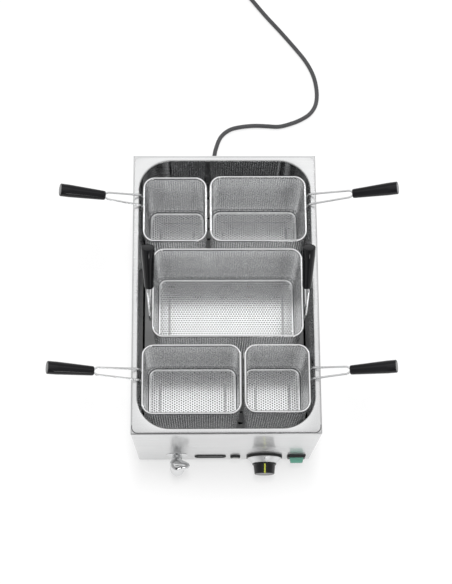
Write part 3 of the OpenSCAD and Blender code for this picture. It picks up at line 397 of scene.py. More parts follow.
def softened(profile, radii, steps=4):
    """A (radius, height) profile with its inner corners rounded, each to its own radius."""
    flat = [(r, h, 0) for r, h in profile]
    return [(max(p[0], 0), p[1]) for p in bent(flat, radii, steps)]


def quarter_turn(steps):
    """Angles from nothing to a right angle, in equal steps."""
    return [math.pi / 2 * k / steps for k in range(steps + 1)]


def round_corners(half_w, half_d, radius, middle, steps):
    """Points and outward directions along a rounded rectangle, anticlockwise from its right rear corner."""
    spots, outward = [], []
    for quarter, (sx, sy) in enumerate(CORNERS):
        centre = np.array((middle[0] + sx * (half_w - radius), middle[1] + sy * (half_d - radius)))
        for k in range(steps + 1):
            angle = math.pi / 2 * (quarter + k / steps)
            outward.append(np.array((math.cos(angle), math.sin(angle))))
            spots.append(centre + radius * outward[-1])
    return np.array(spots), np.array(outward)


def ring(half_w, half_d, radius, z, middle=(0, 0), steps=8):
    """Points of a rounded rectangle at a height, anticlockwise from its right rear corner."""
    spots, _ = round_corners(half_w, half_d, radius, middle, steps)
    return np.column_stack((spots, np.full(len(spots), z)))


def lofted(rings, closed=True):
    """Vertices and faces of a skin over rings of equally many points, back to the first where closed."""
    count = len(rings[0])
    faces = []
    for i in range(len(rings) if closed else len(rings) - 1):
        j = (i + 1) % len(rings)
        for k in range(count):
            m = (k + 1) % count
            faces.append((i * count + k, i * count + m, j * count + m, j * count + k))
    return np.concatenate(rings), faces


def hoop(half_w, half_d, radius, z, middle, wire_r, steps=10, sides=14):
    """Vertices and faces of a round wire bent to a rounded rectangle."""
    around = np.arange(sides) * 2 * math.pi / sides
    rings = []
    for spot, out in zip(*round_corners(half_w, half_d, radius, middle, steps)):
        section = np.outer(np.cos(around), (*out, 0)) + np.outer(np.sin(around), (0, 0, 1))
        rings.append(np.array((*spot, z)) + wire_r * section)
    return lofted(rings)


def circle(middle, radius, sides, turn=0.5):
    """Points of a regular polygon in the plane, turned by a share of one side."""
    angles = (np.arange(sides) + turn) * 2 * math.pi / sides
    return np.column_stack((middle[0] + radius * np.cos(angles), middle[1] + radius * np.sin(angles)))


def within(points, loops):
    """Which points lie inside the loop of the same place in the list."""
    ends = np.roll(loops, -1, axis=1)
    above = (loops[:, :, 1] > points[:, None, 1]) != (ends[:, :, 1] > points[:, None, 1])
    rise = np.where(above, ends[:, :, 1] - loops[:, :, 1], 1)
    x = loops[:, :, 0] + (points[:, None, 1] - loops[:, :, 1]) * (ends[:, :, 0] - loops[:, :, 0]) / rise
    return np.sum(above & (points[:, None, 0] < x), axis=1) % 2 == 1


def pierced(outline, holes):
    """A flat sheet with an outline and holes of equally many sides: points and triangles, anticlockwise."""
    holes = np.asarray(holes, float)
    points, edges, owner = [], [], []
    for number, loop in enumerate([np.asarray(outline, float), *holes]):
        start, n = len(points), len(loop)
        points.extend(Vector((float(p[0]) / MM, float(p[1]) / MM)) for p in loop)
        edges.extend((start + k, start + (k + 1) % n) for k in range(n))
        owner.extend([number] * n)
    inside_only, nearness = 1, 1e-5
    found = delaunay_2d_cdt(points, edges, [], inside_only, nearness)
    flat = np.array([(p.x, p.y) for p in found[0]]) * MM
    owner = np.array([owner[source[0]] for source in found[3]])
    triangles = np.array(found[2], int)
    a, b, c = (flat[triangles[:, k]] for k in range(3))
    turn = (b[:, 0] - a[:, 0]) * (c[:, 1] - a[:, 1]) - (b[:, 1] - a[:, 1]) * (c[:, 0] - a[:, 0])
    triangles[turn < 0] = triangles[turn < 0][:, ::-1]
    loop = owner[triangles]
    one = np.nonzero((loop[:, 0] == loop[:, 1]) & (loop[:, 1] == loop[:, 2]) & (loop[:, 0] > 0))[0]
    gone = one[within(flat[triangles[one]].mean(axis=1), holes[loop[one, 0] - 1])]
    return flat, np.delete(triangles, gone, axis=0)


def thickened(outer, inner, triangles):
    """A closed sheet between two faces that share triangles: vertices and triangles, its seams welded."""
    weld = 0.001 * MM
    _, first, welded = np.unique(np.round(outer / weld).astype(np.int64), axis=0,
                                 return_index=True, return_inverse=True)
    outer, inner, triangles = outer[first], inner[first], welded.reshape(-1)[triangles]
    n = len(outer)
    sides = np.concatenate([triangles[:, (0, 1)], triangles[:, (1, 2)], triangles[:, (2, 0)]])
    free = sides[~np.isin(sides[:, 0] * n + sides[:, 1], sides[:, 1] * n + sides[:, 0])]
    a, b = free[:, 0], free[:, 1]
    edge = np.concatenate([np.column_stack((b, a, a + n)), np.column_stack((b, a + n, b + n))])
    return np.concatenate([outer, inner]), np.concatenate([triangles, triangles[:, ::-1] + n, edge])


def joined(*forms):
    """Several forms as one: vertices and faces."""
    vertices, faces, start = [], [], 0
    for points, polygons in forms:
        vertices.append(np.asarray(points, float))
        faces.extend(tuple(int(i) + start for i in f) for f in polygons)
        start += len(points)
    return np.concatenate(vertices), faces


def riding(name, mesh, finish, body, smooth):
    """A mesh as an object of the scene with its finish, riding on a body."""
    mesh.shade_smooth()
    mesh.set_sharp_from_angle(angle=math.radians(smooth))
    mesh.materials.clear()
    mesh.materials.append(finish)
    made = bpy.data.objects.new(name, mesh)
    bpy.context.scene.collection.objects.link(made)
    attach(made, body)
    return made


def piece(name, form, finish, body, smooth=SHARP_ANGLE, outward=True):
    """A new piece from vertices and faces, with its finish, riding on a body."""
    vertices, faces = form
    mesh = bpy.data.meshes.new(name)
    if isinstance(faces, np.ndarray):
        mesh.vertices.add(len(vertices))
        mesh.vertices.foreach_set("co", np.ascontiguousarray(vertices, np.float32).ravel())
        mesh.loops.add(faces.size)
        mesh.loops.foreach_set("vertex_index", faces.astype(np.int32).ravel())
        mesh.polygons.add(len(faces))
        mesh.polygons.foreach_set("loop_start", np.arange(0, faces.size, 3, dtype=np.int32))
        mesh.update(calc_edges=True)
    else:
        mesh.from_pydata([tuple(map(float, v)) for v in vertices], [], [tuple(map(int, f)) for f in faces])
        if outward:
            work = bmesh.new()
            work.from_mesh(mesh)
            bmesh.ops.recalc_face_normals(work, faces=work.faces)
            work.to_mesh(mesh)
            work.free()
    mesh.validate()
    return riding(name, mesh, finish, body, smooth)


def dress(finish, *nodes):
    """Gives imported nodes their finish."""
    for node in nodes:
        for place in CAD[node].material_slots:
            place.material = finish


def eased(node, finish, body, width, segments=2):
    """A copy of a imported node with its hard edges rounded, which stands for the node."""
    weld, flat, hard = 0.002 * MM, math.radians(1), math.radians(38)
    mesh = CAD[node].data.copy()
    mesh.name = node + "_eased"
    work = bmesh.new()
    work.from_mesh(mesh)
    bmesh.ops.remove_doubles(work, verts=work.verts, dist=weld)
    bmesh.ops.dissolve_limit(work, angle_limit=flat, verts=work.verts, edges=work.edges)
    edges = [e for e in work.edges if len(e.link_faces) == 2 and e.calc_face_angle(0) > hard]
    bmesh.ops.bevel(work, geom=edges, offset=width, segments=segments, affect="EDGES", clamp_overlap=True,
                    profile=0.5)
    work.to_mesh(mesh)
    work.free()
    made = riding(node + "_eased", mesh, finish, body, SHARP_ANGLE)
    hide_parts(node)
    return made


# Finishes


def combined(tree, operation, *values):
    """The result of a sum with numbers and other nodes' results."""
    made = tree.nodes.new("ShaderNodeMath")
    made.operation = operation
    for socket, value in zip(made.inputs, values):
        if isinstance(value, (int, float)):
            socket.default_value = value
        else:
            tree.links.new(value, socket)
    return made.outputs[0]


def stepped(tree, value, start, end, low, high, kind="LINEAR"):
    """A value from start to end brought to the range from low to high."""
    made = tree.nodes.new("ShaderNodeMapRange")
    made.interpolation_type = kind
    tree.links.new(value, made.inputs["Value"])
    ends = {"From Min": start, "From Max": end, "To Min": low, "To Max": high}
    for socket, number in ends.items():
        made.inputs[socket].default_value = number
    return made.outputs["Result"]


def seen_directly(tree):
    """One where a ray from the lens, a reflection or a refraction arrives, and nothing elsewhere."""
    path = tree.nodes.new("ShaderNodeLightPath")
    seen = combined(tree, "MAXIMUM", path.outputs["Is Camera Ray"], path.outputs["Is Glossy Ray"])
    return combined(tree, "MAXIMUM", seen, path.outputs["Is Transmission Ray"])


class Finish:
    """A material being made: its principled shader, and short ways to add nodes to it."""

    def __init__(self, name, colour, metallic=0.0, roughness=0.5, **constants):
        self.material = bpy.data.materials.new(name)
        self.material.use_nodes = True
        self.tree = self.material.node_tree
        self.shader = self.tree.nodes["Principled BSDF"]
        self.shader.inputs["Base Color"].default_value = (*colour, 1)
        self.shader.inputs["Metallic"].default_value = metallic
        self.shader.inputs["Roughness"].default_value = roughness
        for socket, value in constants.items():
            self.shader.inputs[socket.replace("_", " ")].default_value = value
        self.coords = self.tree.nodes.new("ShaderNodeTexCoord")

    def add(self, kind, **values):
        """A new node, with values for its own settings and its inputs."""
        node = self.tree.nodes.new(kind)
        for key, value in values.items():
            if hasattr(node, key):
                setattr(node, key, value)
            else:
                node.inputs[key.replace("_", " ")].default_value = value
        return node

    def link(self, start, end):
        self.tree.links.new(start, end)

    def noise(self, scale, detail=3.0, stretch=(1, 1, 1)):
        """Noise in the object's own coordinates, stretched along its axes."""
        place = self.add("ShaderNodeMapping")
        place.inputs["Scale"].default_value = stretch
        self.link(self.coords.outputs["Object"], place.inputs["Vector"])
        made = self.add("ShaderNodeTexNoise", Scale=scale, Detail=detail)
        self.link(place.outputs["Vector"], made.inputs["Vector"])
        return made.outputs["Fac"]

    def ranged(self, noise, low, high):
        """A noise brought to a range of numbers."""
        return stepped(self.tree, noise, *NOISE_RANGE, low, high)

    def rough(self, value, low, high):
        """Roughness that follows a value."""
        self.link(self.ranged(value, low, high), self.shader.inputs["Roughness"])

    def tinted(self, value, low, high):
        """Base colour that changes between two colours with a value."""
        made = self.add("ShaderNodeMix", data_type="RGBA")
        made.inputs[6].default_value = (*low, 1)
        made.inputs[7].default_value = (*high, 1)
        self.link(self.ranged(value, 0, 1), made.inputs[0])
        self.link(made.outputs[2], self.shader.inputs["Base Color"])

    def bumped(self, value, strength, distance):
        """Relief that follows a value."""
        made = self.add("ShaderNodeBump", Strength=strength, Distance=distance)
        self.link(value, made.inputs["Height"])
        self.link(made.outputs["Normal"], self.shader.inputs["Normal"])


def shade_of(colour, factor):
    """A colour made darker or lighter."""
    return tuple(min(1.0, c * factor) for c in colour)


def brushed(name, colour, roughness, stretch, tone=0.04, relief=0.06, **constants):
    """Satin sheet: fine lines along its grain, with slow changes of tone and gloss."""
    made = Finish(name, colour, 1.0, roughness, **constants)
    grain = made.noise(scale=260, detail=4, stretch=stretch)
    made.tinted(made.noise(scale=9, detail=2), shade_of(colour, 1 - tone), shade_of(colour, 1 + tone))
    made.rough(grain, roughness * 0.82, roughness * 1.2)
    made.bumped(grain, relief, distance=0.02 * MM)
    return made.material


def polished(name, colour, roughness):
    """Polished wire or plating, with faint drawing marks."""
    made = Finish(name, colour, 1.0, roughness)
    marks = made.noise(scale=420, detail=3, stretch=(1, 1, 0.3))
    made.rough(marks, roughness * 0.7, roughness * 1.3)
    made.bumped(made.noise(scale=60, detail=2), strength=0.04, distance=0.03 * MM)
    return made.material


def moulded(name, colour, roughness, texture=700, relief=0.05, **constants):
    """Moulded plastic or rubber with a fine skin and slow changes of gloss."""
    made = Finish(name, colour, 0.0, roughness, **constants)
    made.tinted(made.noise(scale=14, detail=2), shade_of(colour, 0.85), shade_of(colour, 1.15))
    made.rough(made.noise(scale=40, detail=3), roughness * 0.85, roughness * 1.15)
    made.bumped(made.noise(scale=texture, detail=2), relief, distance=0.05 * MM)
    return made.material


def spun(name, colour, roughness, middle):
    """Turned aluminium: fine rings round the knob's axis."""
    made = Finish(name, colour, 1.0, roughness)
    away = made.add("ShaderNodeVectorMath", operation="SUBTRACT")
    away.inputs[1].default_value = middle
    made.link(made.coords.outputs["Object"], away.inputs[0])
    flat = made.add("ShaderNodeVectorMath", operation="MULTIPLY")
    flat.inputs[1].default_value = (1, 0, 1)
    made.link(away.outputs["Vector"], flat.inputs[0])
    length = made.add("ShaderNodeVectorMath", operation="LENGTH")
    made.link(flat.outputs["Vector"], length.inputs[0])
    radians_per_metre = 9000
    phase = combined(made.tree, "MULTIPLY", length.outputs["Value"], radians_per_metre)
    made.rough(made.noise(scale=50, detail=2), roughness * 0.8, roughness * 1.2)
    made.bumped(combined(made.tree, "SINE", phase), strength=0.08, distance=0.02 * MM)
    return made.material


FINISHES = {}


def finishes():
    """The cooker's finishes by name, made once."""
    if FINISHES:
        return FINISHES
    colours = bpy.context.scene.cooker_colours
    knob_low, knob_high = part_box("knob")
    knob_middle = (knob_low + knob_high) / 2
    FINISHES.update(
        case=brushed("case_satin", colours.case, 0.33, (0.02, 1, 1), Coat_Weight=0.5, Coat_Roughness=0.05),
        # The deck takes the case's steel made lighter: painted light on the top, which faces the overhead
        # light.
        deck=brushed("deck_lit_satin", shade_of(colours.case, 1.12), 0.24, (0.02, 1, 1)),
        # The dark bead along the deck's front joint is painted shade for the shadow in its gap.
        seam=moulded("deck_gap_shade", (0.10, 0.10, 0.102), 0.6, 500, 0.05),
        # The tank takes a darker steel than the deck of the same pressed sheet: painted shade for the deep
        # tank.
        tank=brushed("tank_shaded_satin", colours.tank, 0.1, (1, 1, 0.03), tone=0.08, relief=0.01),
        # The false bottom takes the basket steel made much darker: painted shade, so that the holes in the
        # floors show dark.
        false_bottom=brushed("false_bottom_shaded_satin", shade_of(colours.basket, 0.45), 0.35, (0.02, 1, 1)),
        basket=brushed("basket_sheet", colours.basket, 0.24, (1, 1, 1), tone=0.03, relief=0.02),
        # The floors take the basket steel made lighter than the walls': painted light where the floors face
        # the overhead light.
        basket_floor=brushed("basket_floor_sheet", shade_of(colours.basket, 1.3), 0.2, (1, 1, 1), tone=0.02,
                             relief=0.02),
        wire=polished("polished_wire", colours.wire, 0.14),
        chrome=polished("tap_plating", colours.chrome, 0.05),
        screw=polished("screw_steel", shade_of(colours.wire, 0.8), 0.25),
        grip=moulded("grip_plastic", colours.black, 0.1, 500, 0.01, Specular_IOR_Level=0.22),
        knob=moulded("knob_plastic", colours.black, 0.24, 600, 0.04, Specular_IOR_Level=0.35),
        switch=moulded("switch_plastic", shade_of(colours.rubber, 1.1), 0.42, 900, 0.08),
        rubber=moulded("rubber", colours.rubber, 0.62, 420, 0.14),
        cord=moulded("cord_sheath", colours.cord, 0.5, 380, 0.1),
        green=moulded("rocker_green", colours.green, 0.2, 900, 0.02, Coat_Weight=0.3, Coat_Roughness=0.1),
        index=moulded("index_paint", colours.index, 0.45, 900, 0.05),
        lens=moulded("lamp_lens", (0.42, 0.42, 0.40), 0.12, 300, 0.08, Coat_Weight=0.5),
        recess=moulded("recess_paint", (0.30, 0.30, 0.305), 0.45, 800, 0.1),
        dial=spun("dial_aluminium", (0.74, 0.745, 0.75), 0.42, knob_middle),
        mark=moulded("dial_mark", (0.012, 0.012, 0.012), 0.5),
        copper=polished("tinned_copper", (0.32, 0.28, 0.26), 0.3),
        element=brushed("element_tube", (0.26, 0.255, 0.25), 0.34, (1, 1, 1), tone=0.12),
        zinc=brushed("zinc_plate", (0.52, 0.52, 0.53), 0.38, (1, 1, 1)),
        ceramic=moulded("ceramic", (0.62, 0.58, 0.48), 0.4, 600, 0.1),
        brass=polished("nickel_brass", (0.62, 0.58, 0.45), 0.2),
    )
    return FINISHES


# Pieces


class COOKER_OT_stage(bpy.types.Operator):
    """Puts up the pale floor, the soft lamps, the surroundings and the camera"""

    bl_idname = "cooker.stage"
    bl_label = "Studio"

    def execute(self, context):
        scene = context.scene
        scene.view_settings.view_transform = "Standard"
        self.camera(scene)
        self.floor(scene)
        self.world(scene)
        for name, place, aim, size, power, mirrored in SOFTBOXES:
            lamp = bpy.data.lights.new(name, "AREA")
            lamp.shape = "RECTANGLE"
            lamp.size, lamp.size_y = size
            lamp.energy = power
            made = bpy.data.objects.new(name, lamp)
            made.location = place
            made.visible_glossy = mirrored
            made.rotation_euler = (Vector(aim) - Vector(place)).to_track_quat("-Z", "Y").to_euler()
            scene.collection.objects.link(made)
        return {"FINISHED"}

    def camera(self, scene):
        """The camera stands steeply over the front edge, turned a little, with its frame shifted up."""
        lens = bpy.data.cameras.new("camera")
        lens.sensor_width = SENSOR_WIDTH
        lens.lens = FOCAL_LENGTH * SENSOR_WIDTH / PHOTO_HEIGHT
        lens.shift_y = CAMERA_SHIFT
        lens.clip_end = CAMERA_SIGHT
        rise, turn, roll = map(math.radians, (CAMERA_RISE, CAMERA_TURN, CAMERA_ROLL))
        back = Vector((math.sin(turn) * math.cos(rise), -math.cos(turn) * math.cos(rise), math.sin(rise)))
        right = Vector((math.cos(turn), math.sin(turn), 0))
        up = back.cross(right)
        across = math.cos(roll) * right + math.sin(roll) * up
        upward = math.cos(roll) * up - math.sin(roll) * right
        target = Vector((0, MIDDLE_Y + CAMERA_AIM_Y, DECK_Z))
        made = bpy.data.objects.new("camera", lens)
        axes = Matrix((across, upward, back)).transposed().to_4x4()
        made.matrix_world = Matrix.Translation(target + back * CAMERA_AWAY) @ axes
        scene.collection.objects.link(made)
        scene.camera = made

    def floor(self, scene):
        """A wide pale table that stays white to the lens and keeps the cooker's shadow."""
        colour = scene.cooker_colours.floor
        made = Finish("studio_floor", colour, 0.0, 0.9)
        made.tinted(made.noise(scale=1.5, detail=2), shade_of(colour, 0.995), shade_of(colour, 1.0))
        glow = made.add("ShaderNodeEmission", Strength=1.0)
        glow.inputs["Color"].default_value = (1, 1, 1, 1)
        mixed = made.add("ShaderNodeMixShader")
        made.link(combined(made.tree, "MULTIPLY", seen_directly(made.tree), FLOOR_GLOW), mixed.inputs[0])
        made.link(made.shader.outputs[0], mixed.inputs[1])
        made.link(glow.outputs[0], mixed.inputs[2])
        made.link(mixed.outputs[0], made.tree.nodes["Material Output"].inputs["Surface"])
        mesh = bpy.data.meshes.new("studio_floor")
        corners = ring(FLOOR_REACH, FLOOR_REACH, FLOOR_CORNER, -FLOOR_DROP, steps=12)
        mesh.from_pydata([tuple(p) for p in corners], [], [tuple(range(len(corners)))])
        mesh.materials.append(made.material)
        plane = bpy.data.objects.new("studio_floor", mesh)
        scene.collection.objects.link(plane)

    def world(self, scene):
        """A white room: a bright panel overhead and behind, pale walls, and a dark gap round the lens."""
        world = scene.world or bpy.data.worlds.new("studio")
        scene.world = world
        world.use_nodes = True
        tree = world.node_tree
        tree.nodes.clear()

        def step(value, ends):
            return stepped(tree, value, *ends, "SMOOTHSTEP")

        def both(first, second):
            return combined(tree, "MULTIPLY", first, second)

        def brighter(first, second):
            return combined(tree, "MAXIMUM", first, second)

        coords = tree.nodes.new("ShaderNodeTexCoord")
        parts = tree.nodes.new("ShaderNodeSeparateXYZ")
        tree.links.new(coords.outputs["Generated"], parts.inputs[0])
        side = combined(tree, "ABSOLUTE", parts.outputs["X"])
        depth, height = parts.outputs["Y"], parts.outputs["Z"]
        overhead = both(step(depth, OVERHEAD_BY_DEPTH), step(height, OVERHEAD_BY_HEIGHT))
        panel = both(overhead, step(depth, PANEL_BY_DEPTH))
        gap = brighter(step(side, GAP_BY_SIDE), step(depth, GAP_BY_DEPTH))
        lens = brighter(gap, step(depth, LENS_BY_DEPTH))
        ceiling = both(step(height, CEILING_BY_HEIGHT), lens)
        walls = both(step(height, WALLS_BY_HEIGHT), gap)
        room = brighter(brighter(panel, ceiling), walls)
        path = tree.nodes.new("ShaderNodeLightPath")
        light = tree.nodes.new("ShaderNodeBackground")
        light.inputs["Color"].default_value = (1, 1, 1, 1)
        tree.links.new(brighter(room, path.outputs["Is Camera Ray"]), light.inputs["Strength"])
        out = tree.nodes.new("ShaderNodeOutputWorld")
        tree.links.new(light.outputs[0], out.inputs["Surface"])


class COOKER_OT_cord(bpy.types.Operator):
    """Lays the mains cord along its way, with its coil, tie, plug and ribbed gland"""

    bl_idname = "cooker.cord"
    bl_label = "Mains Cord"

    def execute(self, context):
        sizes, finish = context.scene.cooker_sizes, finishes()
        gland_low, gland_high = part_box("cable_gland")
        tip = Vector((CORD_ROUTE[0][0], gland_high.y, (gland_low.z + gland_high.z) / 2))
        way = self.way(sizes, tip)
        cord = piece("mains_cord", swept(way, sizes.cord_d / 2, 12), finish["cord"], "base")
        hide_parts("power_cord", "cord_coil")
        plug = eased("plug_body", finish["rubber"], "base", 1.2 * MM, 3)
        dress(finish["brass"], "plug_pins")
        dress(finish["rubber"], "cord_tie")
        self.gland(tip, finish)
        return {"FINISHED"}

    def way(self, sizes, tip):
        """The cord's line: over the table, round the coil and into the plug."""
        lying = sizes.cord_d / 2 + 0.6 * MM
        points = [(x, tip.y + y, lying + share * (tip.z - lying)) for x, y, share in CORD_ROUTE]
        lead = smooth_way(points, 6)
        start = np.array(points[-1])
        heading = math.atan2(points[-1][1] - points[-2][1], points[-1][0] - points[-2][0])
        step = sizes.cord_d + sizes.coil_gap
        middle = start[:2] + sizes.coil_r * np.array((math.sin(heading), -math.cos(heading)))
        back = COIL_TURNS / 2
        loops = []
        for i in range(1, int(COIL_TURNS * COIL_POINTS) + 1):
            turn = i / COIL_POINTS
            climb = min(max((turn - COIL_LOW_TURNS) / COIL_CLIMB, 0), 1)
            radius = sizes.coil_r - step * (back - abs(turn - back))
            angle = heading + math.pi / 2 - 2 * math.pi * turn
            loops.append((middle[0] + radius * math.cos(angle), middle[1] + radius * math.sin(angle),
                          start[2] + step * climb))
        end = np.array(loops[-1])
        out = np.array((-math.cos(heading), -math.sin(heading), 0))
        rise = np.array((0, 0, PLUG_Z - end[2]))
        tail = [end + out * PLUG_AWAY * share + rise * lift for share, lift in ((0.3, 0.2), (0.55, 0.7))]
        plug = np.array((end[0], end[1], PLUG_Z)) + out * PLUG_AWAY
        return np.concatenate([lead, loops, tail, [plug - out * sizes.cord_d, plug]])

    def gland(self, tip, finish):
        """A strain relief: its neck in the panel, a collar, and ribs that narrow towards the cord."""
        neck_r, collar_r, boot_r, tip_r = 6.5 * MM, 12 * MM, 9.5 * MM, 5.8 * MM
        neck_y, collar_y, boot_y = -41 * MM, -35 * MM, -30 * MM
        ribs, rib_pitch, rib_r, narrowing, groove = 6, 4.5 * MM, 9.3 * MM, 0.45 * MM, 1.2 * MM
        profile = [(0, neck_y), (neck_r, neck_y), (neck_r, collar_y), (collar_r, collar_y),
                   (collar_r, boot_y - 0.5 * MM), (boot_r, boot_y)]
        for k in range(ribs):
            start = boot_y + 1.5 * MM + k * rib_pitch
            radius = rib_r - k * narrowing
            profile += [(radius - groove, start), (radius, start + 0.8 * MM), (radius, start + 2.8 * MM),
                        (radius - groove, start + 3.6 * MM)]
        profile += [(tip_r + 0.6 * MM, -1 * MM), (tip_r, 0), (0, 0)]
        form = turned(profile, tip, (0, 1, 0), 32)
        made = piece("strain_relief", form, finish["rubber"], "base")
        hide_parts("cable_gland")
        return made


class COOKER_OT_case(bpy.types.Operator):
    """Finishes the case shell, rear panel, base plate, feet and screws"""

    bl_idname = "cooker.case"
    bl_label = "Case"

    def execute(self, context):
        finish = finishes()
        dress(finish["case"], "case_shell", "rear_panel")
        dress(finish["zinc"], "base_plate")
        dress(finish["rubber"], "feet")
        dress(finish["screw"], "foot_screws")
        self.screws(finish)
        return {"FINISHED"}

    def screws(self, finish):
        """Pan-head screws with a cross recess on the rear panel."""
        low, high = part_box("rear_screws")
        radius, head, edge, seat = 4 * MM, 2 * MM, 0.6 * MM, 0.8 * MM
        shank_r, shank_l = 1.9 * MM, 8 * MM
        arm, wide = 2.2 * MM, 0.5 * MM
        cross = np.array([(wide, wide), (wide, arm), (-wide, arm),
                          (-wide, wide), (-arm, wide), (-arm, -wide),
                          (-wide, -wide), (-wide, -arm), (wide, -arm),
                          (wide, -wide), (arm, -wide), (arm, wide)])
        flat, triangles = pierced(circle((0, 0), radius - edge, 24), [cross])
        rim = [(radius - edge, seat), (radius, seat), (radius, head - 0.7 * MM),
               (radius - 0.2 * MM, head - 0.2 * MM), (radius - edge, head)]
        base = [(0, 0), (radius, 0), (radius, seat), (0, seat)]
        shank = [(0, -shank_l), (shank_r, -shank_l), (shank_r, 0), (0, 0)]
        forms = []
        for x in (low.x + radius, high.x - radius):
            for z in (low.z + radius, (low.z + high.z) / 2, high.z - radius):
                spot, rearward = (x, high.y - head, z), (0, 1, 0)
                top = np.column_stack((x - flat[:, 0], np.full(len(flat), high.y), z + flat[:, 1]))
                forms += [turned(rim, spot, rearward, 24),
                          thickened(top, top - (0, head - seat, 0), triangles),
                          turned(base, spot, rearward, 24), turned(shank, spot, rearward, 16)]
        made = piece("rear_panel_screws", joined(*forms), finish["screw"], "base",
                     outward=False)
        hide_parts("rear_screws")


class COOKER_OT_tank(bpy.types.Operator):
    """Makes the deck with its rolled tank opening, and finishes what stands in the tank"""

    bl_idname = "cooker.tank"
    bl_label = "Tank"

    def execute(self, context):
        sizes, finish = context.scene.cooker_sizes, finishes()
        self.deck(sizes, finish)
        # The false bottom's darker steel is painted shade for the shade under the basket floors.
        dress(finish["false_bottom"], "false_bottom")
        dress(finish["zinc"], "element_rests", "thermostat_shaft", "thermostat_body", "tank_glands")
        dress(finish["element"], "heating_element")
        dress(finish["copper"], "thermostat_bulb")
        dress(finish["ceramic"], "terminal_block")
        dress(finish["switch"], "safety_cutout")
        return {"FINISHED"}

    def deck(self, sizes, finish):
        """Deck plate and tank as one pressed sheet: a closed section lofted round the plan, and a floor."""
        half_w, half_d = (DECK_HIGH.x - DECK_LOW.x) / 2, (DECK_HIGH.y - DECK_LOW.y) / 2
        border, edge = 8.5 * MM, 0.7 * MM
        open_w, open_d, lip, bend = half_w - border, half_d - border, sizes.tank_lip, sizes.tank_floor_r
        bend_z = TANK_FLOOR_Z + bend
        rings = []

        def level(w, d, r, inset, z):
            rings.append(ring(w - inset, d - inset, r - inset, z, (0, MIDDLE_Y), 12))

        plate, tank = (half_w, half_d, sizes.deck_r), (open_w, open_d, sizes.tank_r)
        level(*plate, 0, DECK_Z - DECK_SHEET)
        for a in quarter_turn(3):
            level(*plate, edge * (1 - math.cos(a)), DECK_Z - edge + edge * math.sin(a))
        for a in quarter_turn(6):
            level(*tank, -lip * (1 - math.sin(a)), DECK_Z - lip + lip * math.cos(a))
        for a in quarter_turn(8):
            level(*tank, bend * (1 - math.cos(a)), bend_z - bend * math.sin(a))
        under = bend + TANK_SHEET
        for a in reversed(quarter_turn(8)):
            level(*tank, under * (1 - math.cos(a)) - TANK_SHEET, bend_z - under * math.sin(a))
        level(*tank, -TANK_SHEET, DECK_Z - DECK_SHEET)
        outline = ring(open_w - bend, open_d - bend, sizes.tank_r - bend, 0, (0, MIDDLE_Y), 12)
        flat, triangles = pierced(outline, self.floor_holes())
        top = np.column_stack((flat, np.full(len(flat), TANK_FLOOR_Z)))
        floor = thickened(top, top - (0, 0, TANK_SHEET), triangles)
        made = piece("deck_and_tank", joined(lofted(rings), floor), finish["tank"], "base",
                     outward=False)
        # Faces of the deck take the lighter copy of the steel (painted light), and those of the tank take the
        # darker one (painted shade).
        made.data.materials.append(finish["deck"])
        for face in made.data.polygons:
            if face.center.z > DECK_Z - lip * 0.6:
                face.material_index = 1
        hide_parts("tank_deck")
        self.seam(sizes, finish, half_w, half_d)

    def floor_holes(self):
        """Holes in the tank's floor: the drain, the element's two ends and the capillary."""
        drain_in, drain_r, gland_r = 17 * MM, 9 * MM, 6.1 * MM
        gland_x = (-20 * MM, 20 * MM, 50 * MM)
        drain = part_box("drain_pipe")
        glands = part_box("tank_glands")
        gland_y = (glands[0].y + glands[1].y) / 2
        middle = ((drain[0].x + drain[1].x) / 2, drain[1].y - drain_in)
        return [circle(middle, drain_r, 24)] + [circle((x, gland_y), gland_r, 24) for x in gland_x]

    def seam(self, sizes, finish, half_w, half_d):
        """A dark bead along the deck plate's front joint and round its two front corners: painted shade for
        the shadow in the joint's gap.
        """
        r, bead, tail = sizes.deck_r, 0.75 * MM, 4 * MM
        low_y, z = MIDDLE_Y - half_d, DECK_Z - DECK_SHEET + bead * 0.4
        x, y, end_y = half_w + bead * 0.6, low_y - bead * 0.6, low_y + r + tail
        way = bent([(-x, end_y, z), (-x, y, z), (x, y, z), (x, end_y, z)], [r, r], 10)
        piece("deck_gap_shade_bead", swept(way, bead, 10), finish["seam"], "base")


def basket_body(name):
    """The body that a basket rides on."""
    return name + "_basket"


